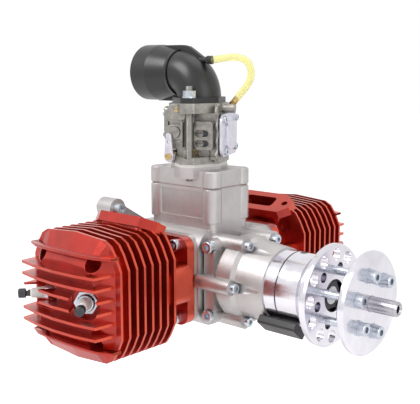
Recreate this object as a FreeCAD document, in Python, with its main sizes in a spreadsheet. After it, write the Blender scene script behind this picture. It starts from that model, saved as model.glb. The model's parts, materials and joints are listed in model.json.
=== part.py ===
import FreeCAD, Part
import math
import os
import re
import Sketcher

# Flat-twin two-stroke engine for a model aircraft, in millimetres.
# The row frame: +X forward along the crank axis, +Y across, along the cylinders, +Z up to the carburettor.
# The origin lies on the crank axis, in the plane of the four mounting bosses' rear faces.
# The near cylinder points along -Y; the far one is the same casting turned half a turn about Z.

SIZES = (
    # alias, value, what it is
    ("bore", 45.0, "cylinder bore"),
    ("stroke", 34.0, "piston stroke"),
    ("rod_length", 62.0, "connecting rod, centre to centre"),
    ("cylinder_spacing", 16.2, "distance along the crank between the two cylinder axes"),
    ("intake_station", 55.0, "mounting face to the intake axis"),
    ("deck_height", 34.0, "crank axis to the cylinder deck"),
    ("gasket_thickness", 0.5, "base gasket"),
    ("case_rear", 17.0, "mounting face to the crankcase rear wall"),
    ("case_front", 84.0, "mounting face to the end of the square part of the crankcase"),
    ("case_half_height", 34.5, "crank axis to the crankcase top and bottom"),
    ("case_corner", 14.0, "outer corner radius of the crankcase"),
    ("chamber_half", 30.5, "half width of the crank chamber"),
    ("chamber_corner", 19.0, "corner radius of the crank chamber"),
    ("chamber_rear", 31.4, "mounting face to the chamber's rear wall"),
    ("chamber_front", 79.5, "mounting face to the chamber's front wall"),
    ("split_station", 98.0, "joint between crankcase and front housing"),
    ("ring_station", 134.4, "front end of the front housing's casting"),
    ("mount_pitch", 90.0, "spacing of the four mounting screws, both ways"),
    ("mount_boss_radius", 7.5, "mounting boss radius"),
    ("mount_boss_length", 15.0, "mounting boss length"),
    ("mount_screw_radius", 2.5, "mounting screw thread radius"),
    ("mount_screw_reach", 6.0, "how far the mounting screws stand out behind"),
    ("mount_shank_radius", 2.7, "mounting screw shank radius, inside its boss"),
    ("front_bolt_circle", 31.0, "radius of the front housing's screw circle"),
    ("front_boss_radius", 5.5, "radius of the front housing's screw bosses"),
    ("front_seat", 113.0, "mounting face to the front housing's screw seats"),
    ("nose_radius", 27.5, "nose radius at the screw seats"),
    ("ring_radius", 25.0, "nose ring and hub radius"),
    ("ring_length", 10.0, "length of the nose ring"),
    ("seam_gap", 0.5, "running gap between nose ring and hub"),
    ("journal_radius", 10.0, "front journal radius"),
    ("rear_journal_radius", 8.5, "rear journal radius"),
    ("web_radius", 24.0, "crank web radius"),
    ("rear_web", 9.0, "rear web thickness"),
    ("rod_width", 11.0, "width of the rods' big ends"),
    ("rod_side_gap", 0.3, "side clearance of the rods' big ends"),
    ("rod_slot_half", 29.0, "half height of the slots that the swinging rods pass through"),
    ("rod_slot_wall", 3.7, "wall left between a rod slot and the cylinder deck"),
    ("crankpin_radius", 6.0, "crankpin radius"),
    ("big_end_radius", 11.0, "rod big end outer radius"),
    ("small_end_radius", 7.5, "rod small end outer radius"),
    ("wrist_pin_radius", 5.0, "wrist pin radius"),
    ("ball_bearing_radius", 21.0, "outer radius of the two front bearings"),
    ("ball_bearing_width", 12.0, "width of the two front bearings"),
    ("rear_bearing_radius", 17.5, "outer radius of the rear bearing"),
    ("rear_bearing_width", 10.0, "width of the rear bearing"),
    ("running_gap", 0.05, "radial running clearance of turning parts"),
    ("crown_height", 20.0, "wrist pin to piston crown"),
    ("skirt_drop", 14.0, "wrist pin to piston skirt edge"),
    ("piston_gap", 0.08, "radial clearance of the pistons"),
    ("fin_reach", 111.25, "crank axis to the outermost cylinder fin"),
    ("fin_pitch", 6.82, "cylinder fin pitch"),
    ("fin_thickness", 1.8, "fin thickness"),
    ("fin_half_width", 43.3, "half width of the cylinder fins"),
    ("fin_half_height", 42.6, "half height of the cylinder fins"),
    ("flange_half_width", 34.8, "cylinder base flange half width"),
    ("flange_half_height", 31.5, "cylinder base flange half height"),
    ("flange_thickness", 7.0, "cylinder base flange thickness"),
    ("base_screw_side", 25.5, "base screws, half spacing along the crank"),
    ("base_screw_rise", 26.0, "base screws, half spacing in height"),
    ("barrel_radius", 29.5, "cylinder barrel radius"),
    ("head_fin_pitch", 7.85, "head fin pitch"),
    ("head_fin_half_width", 37.5, "half width of the head fins"),
    ("head_fin_reach", 127.0, "crank axis to the ends of the head fins"),
    ("head_fin_crown", 131.0, "crank axis to the middle of the head fins"),
    ("dome_height", 121.0, "crank axis to the outside of the head's dome"),
    ("plug_tilt", 38.0, "spark plug angle from the cylinder axis"),
    ("plug_tip_side", 31.5, "plug terminal, off the cylinder axis"),
    ("plug_tip_reach", 134.6, "plug terminal, from the crank axis"),
    ("exhaust_tilt", 29.0, "tilt of the exhaust flange towards the crankcase"),
    ("exhaust_reach", 61.4, "crank axis to the middle of the exhaust flange"),
    ("exhaust_rise", 43.7, "height of the middle of the exhaust flange"),
    ("exhaust_screw_side", 24.3, "half spacing of the exhaust screw holes"),
    ("block_half_length", 31.0, "reed housing half length along the crank"),
    ("block_half_width", 20.0, "reed housing half width"),
    ("block_corner", 5.0, "reed housing corner radius"),
    ("case_top", 38.9, "crank axis to the reed housing joint"),
    ("reed_top", 63.2, "crank axis to the top of the reed housing"),
    ("adapter_top", 75.6, "crank axis to the top of the carburettor adapter"),
    ("carb_turn", 24.0, "turn of the carburettor about its bore"),
    ("carb_base", 79.5, "crank axis to the underside of the carburettor"),
    ("carb_height", 43.0, "carburettor height"),
    ("carb_bore", 12.0, "carburettor throat radius"),
    ("throttle_rise", 7.0, "underside of the carburettor to the throttle shaft"),
    ("choke_rise", 31.0, "underside of the carburettor to the choke shaft"),
    ("needle_tip", 11.0, "needle tips, off the bore axis"),
    ("needle_seat", 15.7, "inner faces of the needles' heads, off the bore axis"),
    ("stud_side", 22.0, "carburettor studs, off the bore axis"),
    ("stud_radius", 2.5, "carburettor stud radius"),
    ("elbow_radius", 16.0, "intake elbow outer radius"),
    ("elbow_flange", 3.8, "intake elbow flange thickness"),
    ("collar_wall", 1.0, "wall of the intake horn's collar"),
    ("elbow_bend", 17.4, "intake elbow centreline radius"),
    ("horn_rise", 143.4, "height of the intake horn's axis"),
    ("horn_radius", 20.5, "intake horn mouth radius"),
    ("horn_mouth", 51.0, "intake axis to the intake horn's mouth"),
    ("duct_wall", 2.5, "wall of elbow and horn"),
    ("disc_radius", 34.0, "propeller washer disc radius"),
    ("disc_thickness", 4.5, "propeller washer disc thickness"),
    ("drive_face", 174.45, "mounting face to the drive flange's front face"),
    ("disc_face", 202.4, "mounting face to the washer disc's front face"),
    ("shaft_end", 222.2, "mounting face to the end of the spinner stud"),
    ("spinner_stud_radius", 5.0, "spinner stud radius"),
    ("stud_seat_radius", 5.5, "spinner stud radius inside the washer disc"),
    ("prop_bolt_circle", 19.14, "radius of the propeller bolt circle"),
    ("prop_bolt_radius", 2.5, "propeller bolt radius"),
)

ALIASES = {row[0] for row in SIZES}
WORD = re.compile(r"[a-z][a-z_0-9]*")
V = FreeCAD.Vector

doc = FreeCAD.newDocument("flat_twin")
sheet = doc.addObject("Spreadsheet::Sheet", "Sizes")
for row, (alias, value, meaning) in enumerate(SIZES, start=1):
    sheet.set("A%d" % row, alias)
    sheet.set("B%d" % row, str(value))
    sheet.set("C%d" % row, meaning)
    sheet.setAlias("B%d" % row, alias)
doc.recompute()

nodes = []


# ---------------------------------------------------------------- expressions

def linked(text):
    """The expression with every alias pointed at the sheet."""
    return WORD.sub(lambda m: "Sizes." + m.group(0) if m.group(0) in ALIASES else m.group(0), str(text))


def uses_sheet(text):
    return any(word in ALIASES for word in WORD.findall(str(text)))


def value_of(text):
    return float(sheet.evalExpression(linked(text)))


def bind(thing, name, text):
    """Set a size and tie it to the sheet when it names one of its cells."""
    if "." not in name and "[" not in name:
        setattr(thing, name, value_of(text))
    if uses_sheet(text):
        thing.setExpression(name, linked(text))


def place(thing, x=0, y=0, z=0, axis=(0, 0, 1), turn=0):
    rotation = FreeCAD.Rotation(V(*axis), value_of(turn))
    thing.Placement = FreeCAD.Placement(V(value_of(x), value_of(y), value_of(z)), rotation)
    for name, text in (("x", x), ("y", y), ("z", z)):
        bind(thing, "Placement.Base." + name, text)
    if uses_sheet(turn):
        bind(thing, "Placement.Rotation.Angle", turn)
    return thing


# ---------------------------------------------------------------- sketches and features

def new_body(label):
    body = doc.addObject("PartDesign::Body", label)
    body.Label = label
    return body


def origin_part(body, role):
    return next(feature for feature in body.Origin.OriginFeatures if feature.Role == role)


def dimension(sketch, kind, *where_and_text):
    *where, text = where_and_text
    index = sketch.addConstraint(Sketcher.Constraint(kind, *where, value_of(text)))
    if uses_sheet(text):
        sketch.setExpression("Constraints[%d]" % index, linked(text))


def pin_point(sketch, geometry, position, x, y):
    dimension(sketch, "DistanceX", -1, 1, geometry, position, x)
    dimension(sketch, "DistanceY", -1, 1, geometry, position, y)


def draw_polygon(sketch, points):
    corners = [V(value_of(x), value_of(y), 0) for x, y in points]
    first = sketch.GeometryCount
    count = len(corners)
    for k in range(count):
        sketch.addGeometry(Part.LineSegment(corners[k], corners[(k + 1) % count]), False)
    for k in range(count):
        sketch.addConstraint(Sketcher.Constraint("Coincident", first + k, 2, first + (k + 1) % count, 1))
    for k, (x, y) in enumerate(points):
        pin_point(sketch, first + k, 1, x, y)


def draw_circle(sketch, x, y, radius):
    centre = V(value_of(x), value_of(y), 0)
    circle = sketch.addGeometry(Part.Circle(centre, V(0, 0, 1), value_of(radius)), False)
    dimension(sketch, "Radius", circle, radius)
    pin_point(sketch, circle, 3, x, y)


def draw_hexagon(sketch, across_flats):
    """A hexagon about the sketch's origin."""
    corner = "(%s)/sqrt(3)" % across_flats
    draw_polygon(sketch, [("%s*cos(%d)" % (corner, turn), "%s*sin(%d)" % (corner, turn))
                          for turn in range(0, 360, 60)])


def hexagon_sketch(body, role, across_flats, offset=0):
    sketch = new_sketch(body, role, offset)
    draw_hexagon(sketch, across_flats)
    return sketch


def draw_rounded_box(sketch, x, y, half_x, half_y, corner):
    """A rectangle with round corners about the point (x, y)."""
    cx, cy, hx, hy, r = (value_of(text) for text in (x, y, half_x, half_y, corner))
    first = sketch.GeometryCount
    for k, (sx, sy) in enumerate(((1, 1), (-1, 1), (-1, -1), (1, -1))):
        centre = V(cx + sx * (hx - r), cy + sy * (hy - r), 0)
        arc = Part.ArcOfCircle(Part.Circle(centre, V(0, 0, 1), r), k * math.pi / 2, (k + 1) * math.pi / 2)
        sketch.addGeometry(arc, False)
    ends = [(sketch.getPoint(first + k, 2), sketch.getPoint(first + (k + 1) % 4, 1)) for k in range(4)]
    for start, stop in ends:
        sketch.addGeometry(Part.LineSegment(start, stop), False)
    for k in range(4):
        line = first + 4 + k
        sketch.addConstraint(Sketcher.Constraint("Tangent", first + k, 2, line, 1))
        sketch.addConstraint(Sketcher.Constraint("Tangent", line, 2, first + (k + 1) % 4, 1))
        sketch.addConstraint(Sketcher.Constraint("Horizontal" if k % 2 == 0 else "Vertical", line))
    for k in range(1, 4):
        sketch.addConstraint(Sketcher.Constraint("Equal", first, first + k))
    dimension(sketch, "Radius", first, corner)
    dimension(sketch, "DistanceY", -1, 1, first + 4, 1, "(%s)+(%s)" % (y, half_y))
    dimension(sketch, "DistanceX", -1, 1, first + 5, 1, "(%s)-(%s)" % (x, half_x))
    dimension(sketch, "DistanceY", -1, 1, first + 6, 1, "(%s)-(%s)" % (y, half_y))
    dimension(sketch, "DistanceX", -1, 1, first + 7, 1, "(%s)+(%s)" % (x, half_x))


def new_sketch(body, role, offset=0):
    sketch = body.newObject("Sketcher::SketchObject", body.Name + "_sketch")
    sketch.AttachmentSupport = (origin_part(body, role), [""])
    sketch.MapMode = "FlatFace"
    sketch.AttachmentOffset = FreeCAD.Placement(V(0, 0, value_of(offset)), FreeCAD.Rotation())
    bind(sketch, "AttachmentOffset.Base.z", offset)
    return sketch


def polygon_sketch(body, role, points, offset=0):
    sketch = new_sketch(body, role, offset)
    draw_polygon(sketch, points)
    return sketch


def circle_sketch(body, role, circles, offset=0):
    sketch = new_sketch(body, role, offset)
    for x, y, radius in circles:
        draw_circle(sketch, x, y, radius)
    return sketch


def box_sketch(body, role, x, y, half_x, half_y, corner, offset=0):
    sketch = new_sketch(body, role, offset)
    draw_rounded_box(sketch, x, y, half_x, half_y, corner)
    return sketch


def pad(body, sketch, length, reverse=False, both=False):
    feature = body.newObject("PartDesign::Pad", body.Name + "_pad")
    feature.Profile = sketch
    bind(feature, "Length", length)
    feature.Reversed = reverse
    feature.Midplane = both
    doc.recompute()
    return feature


def pocket(body, sketch, length, reverse=False, both=False):
    before = body.Shape.Volume
    feature = body.newObject("PartDesign::Pocket", body.Name + "_pocket")
    feature.Profile = sketch
    bind(feature, "Length", length)
    feature.Reversed = reverse
    feature.Midplane = both
    doc.recompute()
    if feature.Shape.Volume > before - 1e-6:
        raise RuntimeError("a pocket of %s cuts nothing" % body.Label)
    return feature


def revolve(body, sketch, cut=False):
    kind = "PartDesign::Groove" if cut else "PartDesign::Revolution"
    before = body.Shape.Volume if cut else 0
    feature = body.newObject(kind, body.Name + "_turning")
    feature.Profile = sketch
    feature.ReferenceAxis = (sketch, ["H_Axis"])
    feature.Angle = 360
    doc.recompute()
    if cut and feature.Shape.Volume > before - 1e-6:
        raise RuntimeError("a groove of %s cuts nothing" % body.Label)
    return feature


def around(body, features, role, count):
    """Copies of features, evenly spaced about an axis of the body."""
    pattern = body.newObject("PartDesign::PolarPattern", body.Name + "_ring")
    pattern.Originals = features
    pattern.Axis = (origin_part(body, role), [""])
    pattern.Angle = 360
    pattern.Occurrences = count
    body.Tip = pattern
    doc.recompute()
    return pattern


def mirrored(body, features, role):
    pattern = body.newObject("PartDesign::Mirrored", body.Name + "_mirror")
    pattern.Originals = features
    pattern.MirrorPlane = (origin_part(body, role), [""])
    body.Tip = pattern
    doc.recompute()
    return pattern


def in_line(body, features, role, pitch, count):
    """Copies of features along an axis of the body, one pitch apart."""
    pattern = body.newObject("PartDesign::LinearPattern", body.Name + "_row")
    pattern.Originals = features
    pattern.Direction = (origin_part(body, role), [""])
    pattern.Reversed = True
    bind(pattern, "Length", "%s*%d" % (pitch, count - 1))
    pattern.Occurrences = count
    body.Tip = pattern
    doc.recompute()
    return pattern


def round_edges(body, radius, chosen, chamfer=False):
    """Round or chamfer the edges of the body's tip that the test chooses."""
    tip = body.Tip
    names = ["Edge%d" % (k + 1) for k, edge in enumerate(tip.Shape.Edges) if chosen(edge)]
    if not names:
        raise RuntimeError("no edges chosen on %s" % body.Label)
    feature = body.newObject("PartDesign::Chamfer" if chamfer else "PartDesign::Fillet", body.Name + "_edge")
    feature.Base = (tip, names)
    bind(feature, "Size" if chamfer else "Radius", radius)
    doc.recompute()
    return feature


def along(axis, test=None):
    """A test for straight edges that run along an axis."""
    direction = V(*axis)

    def chosen(edge):
        if edge.Curve.TypeId != "Part::GeomLine":
            return False
        if abs(abs(edge.Curve.Direction.dot(direction)) - 1) > 1e-6:
            return False
        return test is None or test(edge.CenterOfMass)
    return chosen


def turned(label, points):
    """A body turned about its own X axis from (station, radius) points."""
    body = new_body(label)
    revolve(body, polygon_sketch(body, "XY_Plane", points))
    return body


def tube_points(start, stop, inner, outer):
    return [(start, inner), (start, outer), (stop, outer), (stop, inner)]


def ring(label, start, stop, inner, outer):
    return turned(label, tube_points(start, stop, inner, outer))


def group(label, pieces):
    """One node of separate solids."""
    compound = doc.addObject("Part::Compound", label)
    compound.Links = pieces
    compound.Label = label
    doc.recompute()
    return compound


def copies(label, master, placements):
    """One node of separate solids: the master repeated at each placement."""
    links = []
    for k, where in enumerate(placements):
        link = doc.addObject("App::Link", "%s_%d" % (label, k + 1))
        link.LinkedObject = master
        link.LinkTransform = True
        place(link, **where)
        links.append(link)
    return group(label, links)


def keep(thing):
    """Mark an object as a finished piece."""
    nodes.append(thing)
    return thing


HALF_TURN = {"x": "2*intake_station", "turn": 180}
NEAR_AXIS = "intake_station-cylinder_spacing/2"
FAR_AXIS = "intake_station+cylinder_spacing/2"


def far_copy(label, master):
    """The far side's piece: the near one turned half a turn about the intake axis."""
    return keep(copies(label, master, [HALF_TURN]))


def socket_screw(label, thread, length, head_radius, head_length, socket=0.45, shank=None):
    """A cap screw along X: head from 0 forward, thread behind, with a hexagon socket.

    shank is the radius and the length of a thicker part between head and thread."""
    neck = [(0, thread)]
    if shank:
        neck = [("0-(%s)" % shank[1], thread), ("0-(%s)" % shank[1], shank[0]), (0, shank[0])]
    body = turned(label, [
        ("0-(%s)" % length, 0), ("0-(%s)" % length, thread)] + neck + [
        (0, head_radius), ("%s-0.4" % head_length, head_radius), (head_length, "%s-0.4" % head_radius),
        (head_length, 0)])
    key = "(%s)*%g" % (head_radius, 2 * socket)
    pocket(body, hexagon_sketch(body, "YZ_Plane", key, head_length), "(%s)*0.55" % head_length)
    return body


# ---------------------------------------------------------------- crankcase

CRANK_SCREW_TURNS = [60 * k for k in range(6)]
CORNERS = ((1, 1), (-1, 1), (-1, -1), (1, -1))


def make_crankcase():
    body = new_body("crankcase")
    deck = "deck_height"
    pad(body, box_sketch(body, "YZ_Plane", 0, 0, "%s-1" % deck, "case_half_height", "case_corner", "case_rear"),
        "case_front-case_rear")
    pad(body, circle_sketch(body, "YZ_Plane", [(0, 0, "nose_radius")], "case_front-1"),
        "split_station-case_front+1")
    # one deck for each cylinder, with room for its base flange
    for axis, side in ((NEAR_AXIS, 1), (FAR_AXIS, -1)):
        deck_sketch = box_sketch(body, "XZ_Plane", axis, 0, "flange_half_width", "flange_half_height", 9,
                                 "%d*%s" % (side, deck))
        pad(body, deck_sketch, 13, reverse=side > 0)
    # neck under the reed housing
    pad(body, box_sketch(body, "XY_Plane", "intake_station", 0, "block_half_length", "block_half_width",
                         "block_corner", 24), "case_top-24")
    # the front housing's six screws enter bosses on the case
    boss = pad(body, circle_sketch(body, "YZ_Plane", [("-front_bolt_circle", 0, "front_boss_radius")],
                                   "split_station-15"), 15)
    around(body, [boss], "X_Axis", 6)
    # flat band with two screws on the near side, ahead of the cylinder
    band_x = "split_station-8"
    band_screws = [(band_x, 24.5), (band_x, -24.5)]
    pad(body, box_sketch(body, "XZ_Plane", band_x, 0, 4.5, 26, 4.4, 28.5), 10, reverse=True)
    pad(body, circle_sketch(body, "XZ_Plane", [(x, z, 5.5) for x, z in band_screws], 26.5), 12, reverse=True)
    # four arms reach back to the mounting bosses, thick where they leave the case
    half = "mount_pitch/2"
    root = [(14, 33), (12, 12), (32, 12), (32, 22)]
    arm = [("%s+4" % half, "%s-4" % half), ("%s-4" % half, "%s+4" % half)] + root
    for sy, sz in CORNERS:
        for outline, thickness in ((arm, 6.5), (root, 14)):
            points = [("(%s)*%d" % (y, sy), "(%s)*%d" % (z, sz)) for y, z in outline]
            pad(body, polygon_sketch(body, "YZ_Plane", points, 5), thickness)
    pad(body, circle_sketch(body, "YZ_Plane", [("%d*%s" % (sy, half), "%d*%s" % (sz, half), "mount_boss_radius")
                                              for sy, sz in CORNERS]), "mount_boss_length")
    pocket(body, circle_sketch(body, "YZ_Plane", [("%d*%s" % (sy, half), "%d*%s" % (sz, half),
                                                   "mount_shank_radius+running_gap") for sy, sz in CORNERS],
                               "mount_boss_length"), "mount_boss_length")
    # crank chamber, open to the front, the two cylinders and the reed housing
    pocket(body, box_sketch(body, "YZ_Plane", 0, 0, "chamber_half", "chamber_half", "chamber_corner",
                            "chamber_front"), "chamber_front-chamber_rear")
    pocket(body, circle_sketch(body, "YZ_Plane", [(0, 0, "web_radius+1.5")], "split_station"),
           "split_station-chamber_front")
    pocket(body, circle_sketch(body, "YZ_Plane", [(0, 0, "rear_bearing_radius")], "chamber_rear"),
           "rear_bearing_width+1")
    for axis, side in ((NEAR_AXIS, 1), (FAR_AXIS, -1)):
        pocket(body, circle_sketch(body, "XZ_Plane", [(axis, 0, "bore/2+0.5")], "%d*%s" % (side, deck)),
               "%s-20" % deck, reverse=side < 0)
        pocket(body, circle_sketch(body, "XZ_Plane", [
            ("%s+%d*base_screw_side" % (axis, sx), "%d*base_screw_rise" % sz, "2.5+running_gap")
            for sx, sz in CORNERS], "%d*%s" % (side, deck)), 9, reverse=side < 0)
        # slot for the swinging rod
        pocket(body, box_sketch(body, "XZ_Plane", axis, 0, "rod_width/2+1.5", "rod_slot_half", 2,
                                "%d*(%s-rod_slot_wall)" % (side, deck)), 15, reverse=side < 0)
    pocket(body, box_sketch(body, "XY_Plane", "intake_station", 0, "block_half_length-8.5", "block_half_width-6",
                            2, "case_top"), "case_top-24")
    pocket(body, circle_sketch(body, "YZ_Plane", [
        ("front_bolt_circle*cos(%d)" % turn, "front_bolt_circle*sin(%d)" % turn, "2+running_gap")
        for turn in CRANK_SCREW_TURNS], "split_station"), 12)
    pocket(body, circle_sketch(body, "XZ_Plane", [(x, z, 4.8) for x, z in band_screws], 32), 5.5)
    pocket(body, circle_sketch(body, "XZ_Plane", [(x, z, "2.5+running_gap") for x, z in band_screws], 26.5), 9)
    # flat beside the far cylinder's base flange
    pocket(body, box_sketch(body, "XZ_Plane", "split_station-6", 0, 9.5, 6.5, 1, "-deck_height-5"), 5,
           reverse=True)
    return keep(body)


def make_front_housing():
    body = turned("front_housing", [
        ("chamber_front+1", "ball_bearing_radius"), ("chamber_front+1", "web_radius+1.5-running_gap"),
        ("split_station", "web_radius+1.5-running_gap"), ("split_station", "front_bolt_circle-0.5"),
        ("front_seat-3", "front_bolt_circle-0.5"), ("front_seat", "nose_radius+1"),
        ("ring_station", "ring_radius+1"), ("ring_station", "ball_bearing_radius"),
        ("ring_station-ball_bearing_width-1", "ball_bearing_radius"),
        ("ring_station-ball_bearing_width-1", "journal_radius+6"),
        ("chamber_front+1+ball_bearing_width+1", "journal_radius+6"),
        ("chamber_front+1+ball_bearing_width+1", "ball_bearing_radius")])
    boss = pad(body, circle_sketch(body, "YZ_Plane", [("-front_bolt_circle", 0, "front_boss_radius")],
                                   "split_station"), "front_seat-split_station")
    around(body, [boss], "X_Axis", 6)
    hole = pocket(body, circle_sketch(body, "YZ_Plane", [("-front_bolt_circle", 0, "2+running_gap")],
                                      "front_seat"), "front_seat-split_station")
    around(body, [hole], "X_Axis", 6)
    seat = pocket(body, circle_sketch(body, "YZ_Plane", [("-front_bolt_circle", 0, "front_boss_radius-0.7")],
                                      "front_seat+30"), 30)
    around(body, [seat], "X_Axis", 6)
    return keep(body)


def make_case_screws():
    mount = socket_screw("mounting_screw", "mount_screw_radius", "mount_boss_length+mount_screw_reach", 4.25, 5,
                         shank=("mount_shank_radius", "mount_boss_length"))
    half = "mount_pitch/2"
    keep(copies("mounting_screws", mount, [
        {"x": "mount_boss_length", "y": "%d*%s" % (sy, half), "z": "%d*%s" % (sz, half)} for sy, sz in CORNERS]))
    front = socket_screw("front_screw", 2, "front_seat-split_station+10", 3.5, 4)
    front_group = copies("front_screws", front, [
        {"x": "front_seat", "y": "front_bolt_circle*cos(%d)" % turn, "z": "front_bolt_circle*sin(%d)" % turn}
        for turn in CRANK_SCREW_TURNS])
    side = socket_screw("side_screw", 2.5, 8, 4.25, 5)
    side_group = copies("band_screws", side, [
        {"x": "split_station-8", "y": -26.5, "z": rise, "turn": -90} for rise in (24.5, -24.5)])
    keep(group("case_screws", [front_group, side_group]))


# ---------------------------------------------------------------- crank train

REAR_WEB_FACE = NEAR_AXIS + "-rod_width/2-rod_side_gap"
MIDDLE_WEB_REAR = NEAR_AXIS + "+rod_width/2+rod_side_gap"
MIDDLE_WEB_FRONT = FAR_AXIS + "-rod_width/2-rod_side_gap"
FRONT_WEB_FACE = FAR_AXIS + "+rod_width/2+rod_side_gap"


def make_crankshaft():
    """Three webs on one axis; the crankpins between them belong to the rods."""
    rear = turned("rear_web", [
        ("case_rear+5", 0), ("case_rear+5", "rear_journal_radius"),
        (REAR_WEB_FACE + "-rear_web", "rear_journal_radius"), (REAR_WEB_FACE + "-rear_web", "web_radius"),
        (REAR_WEB_FACE, "web_radius"), (REAR_WEB_FACE, 0)])
    middle = ring("middle_web", MIDDLE_WEB_REAR, MIDDLE_WEB_FRONT, 0, "web_radius")
    front = turned("front_web", [
        (FRONT_WEB_FACE, 0), (FRONT_WEB_FACE, "web_radius"), (FRONT_WEB_FACE + "+rear_web", "web_radius"),
        (FRONT_WEB_FACE + "+rear_web", "journal_radius"), ("drive_face-14", "journal_radius"),
        ("drive_face-10", 6), ("drive_face-1.5", 6), ("drive_face-1.5", 0)])
    keep(group("crankshaft", [rear, middle, front]))


def make_bearings():
    fronts = ("chamber_front+1", "ring_station-ball_bearing_width")
    rears = ("chamber_rear-rear_bearing_width",)
    sets = [(s, "ball_bearing_width", "journal_radius", "ball_bearing_radius") for s in fronts]
    sets += [(s, "rear_bearing_width", "rear_journal_radius", "rear_bearing_radius") for s in rears]
    races = {"outer": [], "balls": [], "inner": []}
    for number, (start, width, inner, outer) in enumerate(sets, start=1):
        stop = "%s+%s" % (start, width)
        third = "(%s-%s)/3" % (outer, inner)
        spans = {"outer": ("%s-%s" % (outer, third), outer, 0),
                 "balls": ("%s+%s+0.05" % (inner, third), "%s-%s-0.05" % (outer, third), 1.5),
                 "inner": (inner, "%s+%s" % (inner, third), 0)}
        for name, (low, high, inset) in spans.items():
            piece = ring("bearing_%s_%d" % (name, number), "%s+%g" % (start, inset), "%s-%g" % (stop, inset),
                         low, high)
            races[name].append(piece)
    keep(group("bearing_outer_races", races["outer"] + races["balls"]))
    keep(group("bearing_inner_races", races["inner"]))


def make_piston():
    """A piston about the body's Z axis, crown outwards, wrist pin along X."""
    body = new_body("near_piston")
    pin = "stroke/2+rod_length"
    outside = circle_sketch(body, "XY_Plane", [(0, 0, "bore/2-piston_gap")], pin + "-skirt_drop")
    pad(body, outside, "skirt_drop+crown_height")
    pocket(body, circle_sketch(body, "XY_Plane", [(0, 0, "bore/2-3")], pin + "-skirt_drop"),
           "skirt_drop+crown_height-6", reverse=True)
    pad(body, box_sketch(body, "YZ_Plane", 0, pin, 9, 9, 8.9), "bore-7", both=True)
    pocket(body, box_sketch(body, "YZ_Plane", 0, pin + "-8", 12, 20, 2), "rod_width+1.6", both=True)
    pocket(body, circle_sketch(body, "YZ_Plane", [(0, pin, "wrist_pin_radius")]), "bore", both=True)
    groove = polygon_sketch(body, "XZ_Plane", [
        ("bore/2-2.4", pin + "+crown_height-4.5"), ("bore/2+1", pin + "+crown_height-4.5"),
        ("bore/2+1", pin + "+crown_height-3.3"), ("bore/2-2.4", pin + "+crown_height-3.3")])
    feature = body.newObject("PartDesign::Groove", "piston_ring_groove")
    feature.Profile = groove
    feature.ReferenceAxis = (groove, ["V_Axis"])
    feature.Angle = 360
    doc.recompute()
    return to_cylinder(body)


def to_cylinder(thing):
    """Stand a piece built along Z on the near cylinder's axis, pointing outwards."""
    return place(thing, x=NEAR_AXIS, axis=(1, 0, 0), turn=90)


def make_rod():
    """A rod with its crankpin, built about the near cylinder's axis."""
    body = new_body("near_rod")
    small = "stroke/2+rod_length"
    big = "stroke/2"
    pad(body, circle_sketch(body, "YZ_Plane", [(0, big, "big_end_radius")]), "rod_width", both=True)
    pad(body, circle_sketch(body, "YZ_Plane", [(0, small, "small_end_radius")]), "rod_width", both=True)
    pad(body, polygon_sketch(body, "YZ_Plane", [(-6.5, big + "+7"), (6.5, big + "+7"), (4.5, small + "-5"),
                                                (-4.5, small + "-5")]), 5, both=True)
    pocket(body, circle_sketch(body, "YZ_Plane", [(0, big, "crankpin_radius"),
                                                  (0, small, "wrist_pin_radius+running_gap")]),
           "rod_width+2", both=True)
    return to_cylinder(body)


def make_pistons_and_rods():
    piston = keep(make_piston())
    pin = ring("near_wrist_pin", "-bore/2+3", "bore/2-3", "wrist_pin_radius-2", "wrist_pin_radius-0.01")
    place(pin, x=NEAR_AXIS, y="-stroke/2-rod_length")
    keep(pin)
    top = "stroke/2+rod_length+crown_height"
    piston_ring = ring("near_piston_ring", top + "-4.4", top + "-3.4", "bore/2-2.2", "bore/2-piston_gap/2")
    place(piston_ring, x=NEAR_AXIS, axis=(0, 0, 1), turn=-90)
    keep(piston_ring)
    rod = keep(make_rod())
    crankpin = ring("near_crankpin", "-rod_width/2", "rod_width/2", 2, "crankpin_radius-0.01")
    place(crankpin, x=NEAR_AXIS, y="-stroke/2")
    keep(crankpin)
    for name, master in (("far_piston", piston), ("far_wrist_pin", pin), ("far_piston_ring", piston_ring),
                         ("far_rod", rod), ("far_crankpin", crankpin)):
        far_copy(name, master)


# ---------------------------------------------------------------- propeller drive

def make_hub():
    body = turned("drive_hub", [
        ("ring_station+ring_length+seam_gap", "journal_radius"),
        ("ring_station+ring_length+seam_gap", "ring_radius"),
        ("drive_face-13", "ring_radius"), ("drive_face-13", "ring_radius-1.5"),
        ("drive_face-4.5", "ring_radius-1.5"), ("drive_face-4.5", "disc_radius-0.6"),
        ("drive_face-3.6", "disc_radius+0.5"), ("drive_face-1.3", "disc_radius+0.5"),
        ("drive_face", "disc_radius-0.8"), ("drive_face", 11), ("drive_face-9", 11), ("drive_face-9", 6.05),
        ("drive_face-10", 6.05), ("drive_face-14", "journal_radius")])
    outer = pocket(body, circle_sketch(body, "YZ_Plane", [("27.5*cos(27)", "27.5*sin(27)", 4.3)], "drive_face"), 5)
    around(body, [outer], "X_Axis", 12)
    inner = pocket(body, circle_sketch(body, "YZ_Plane", [
        ("prop_bolt_circle*cos(10.8)", "prop_bolt_circle*sin(10.8)", 3.4)], "drive_face"), 7)
    around(body, [inner], "X_Axis", 6)
    bolt = pocket(body, circle_sketch(body, "YZ_Plane", [
        ("prop_bolt_circle*cos(40.8)", "prop_bolt_circle*sin(40.8)", "prop_bolt_radius+running_gap")],
        "drive_face"), 11)
    around(body, [bolt], "X_Axis", 6)
    pocket(body, circle_sketch(body, "XY_Plane", [("ring_station+15.6", 0, 2.5)], "ring_radius+1"), 4)
    return keep(body)


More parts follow.
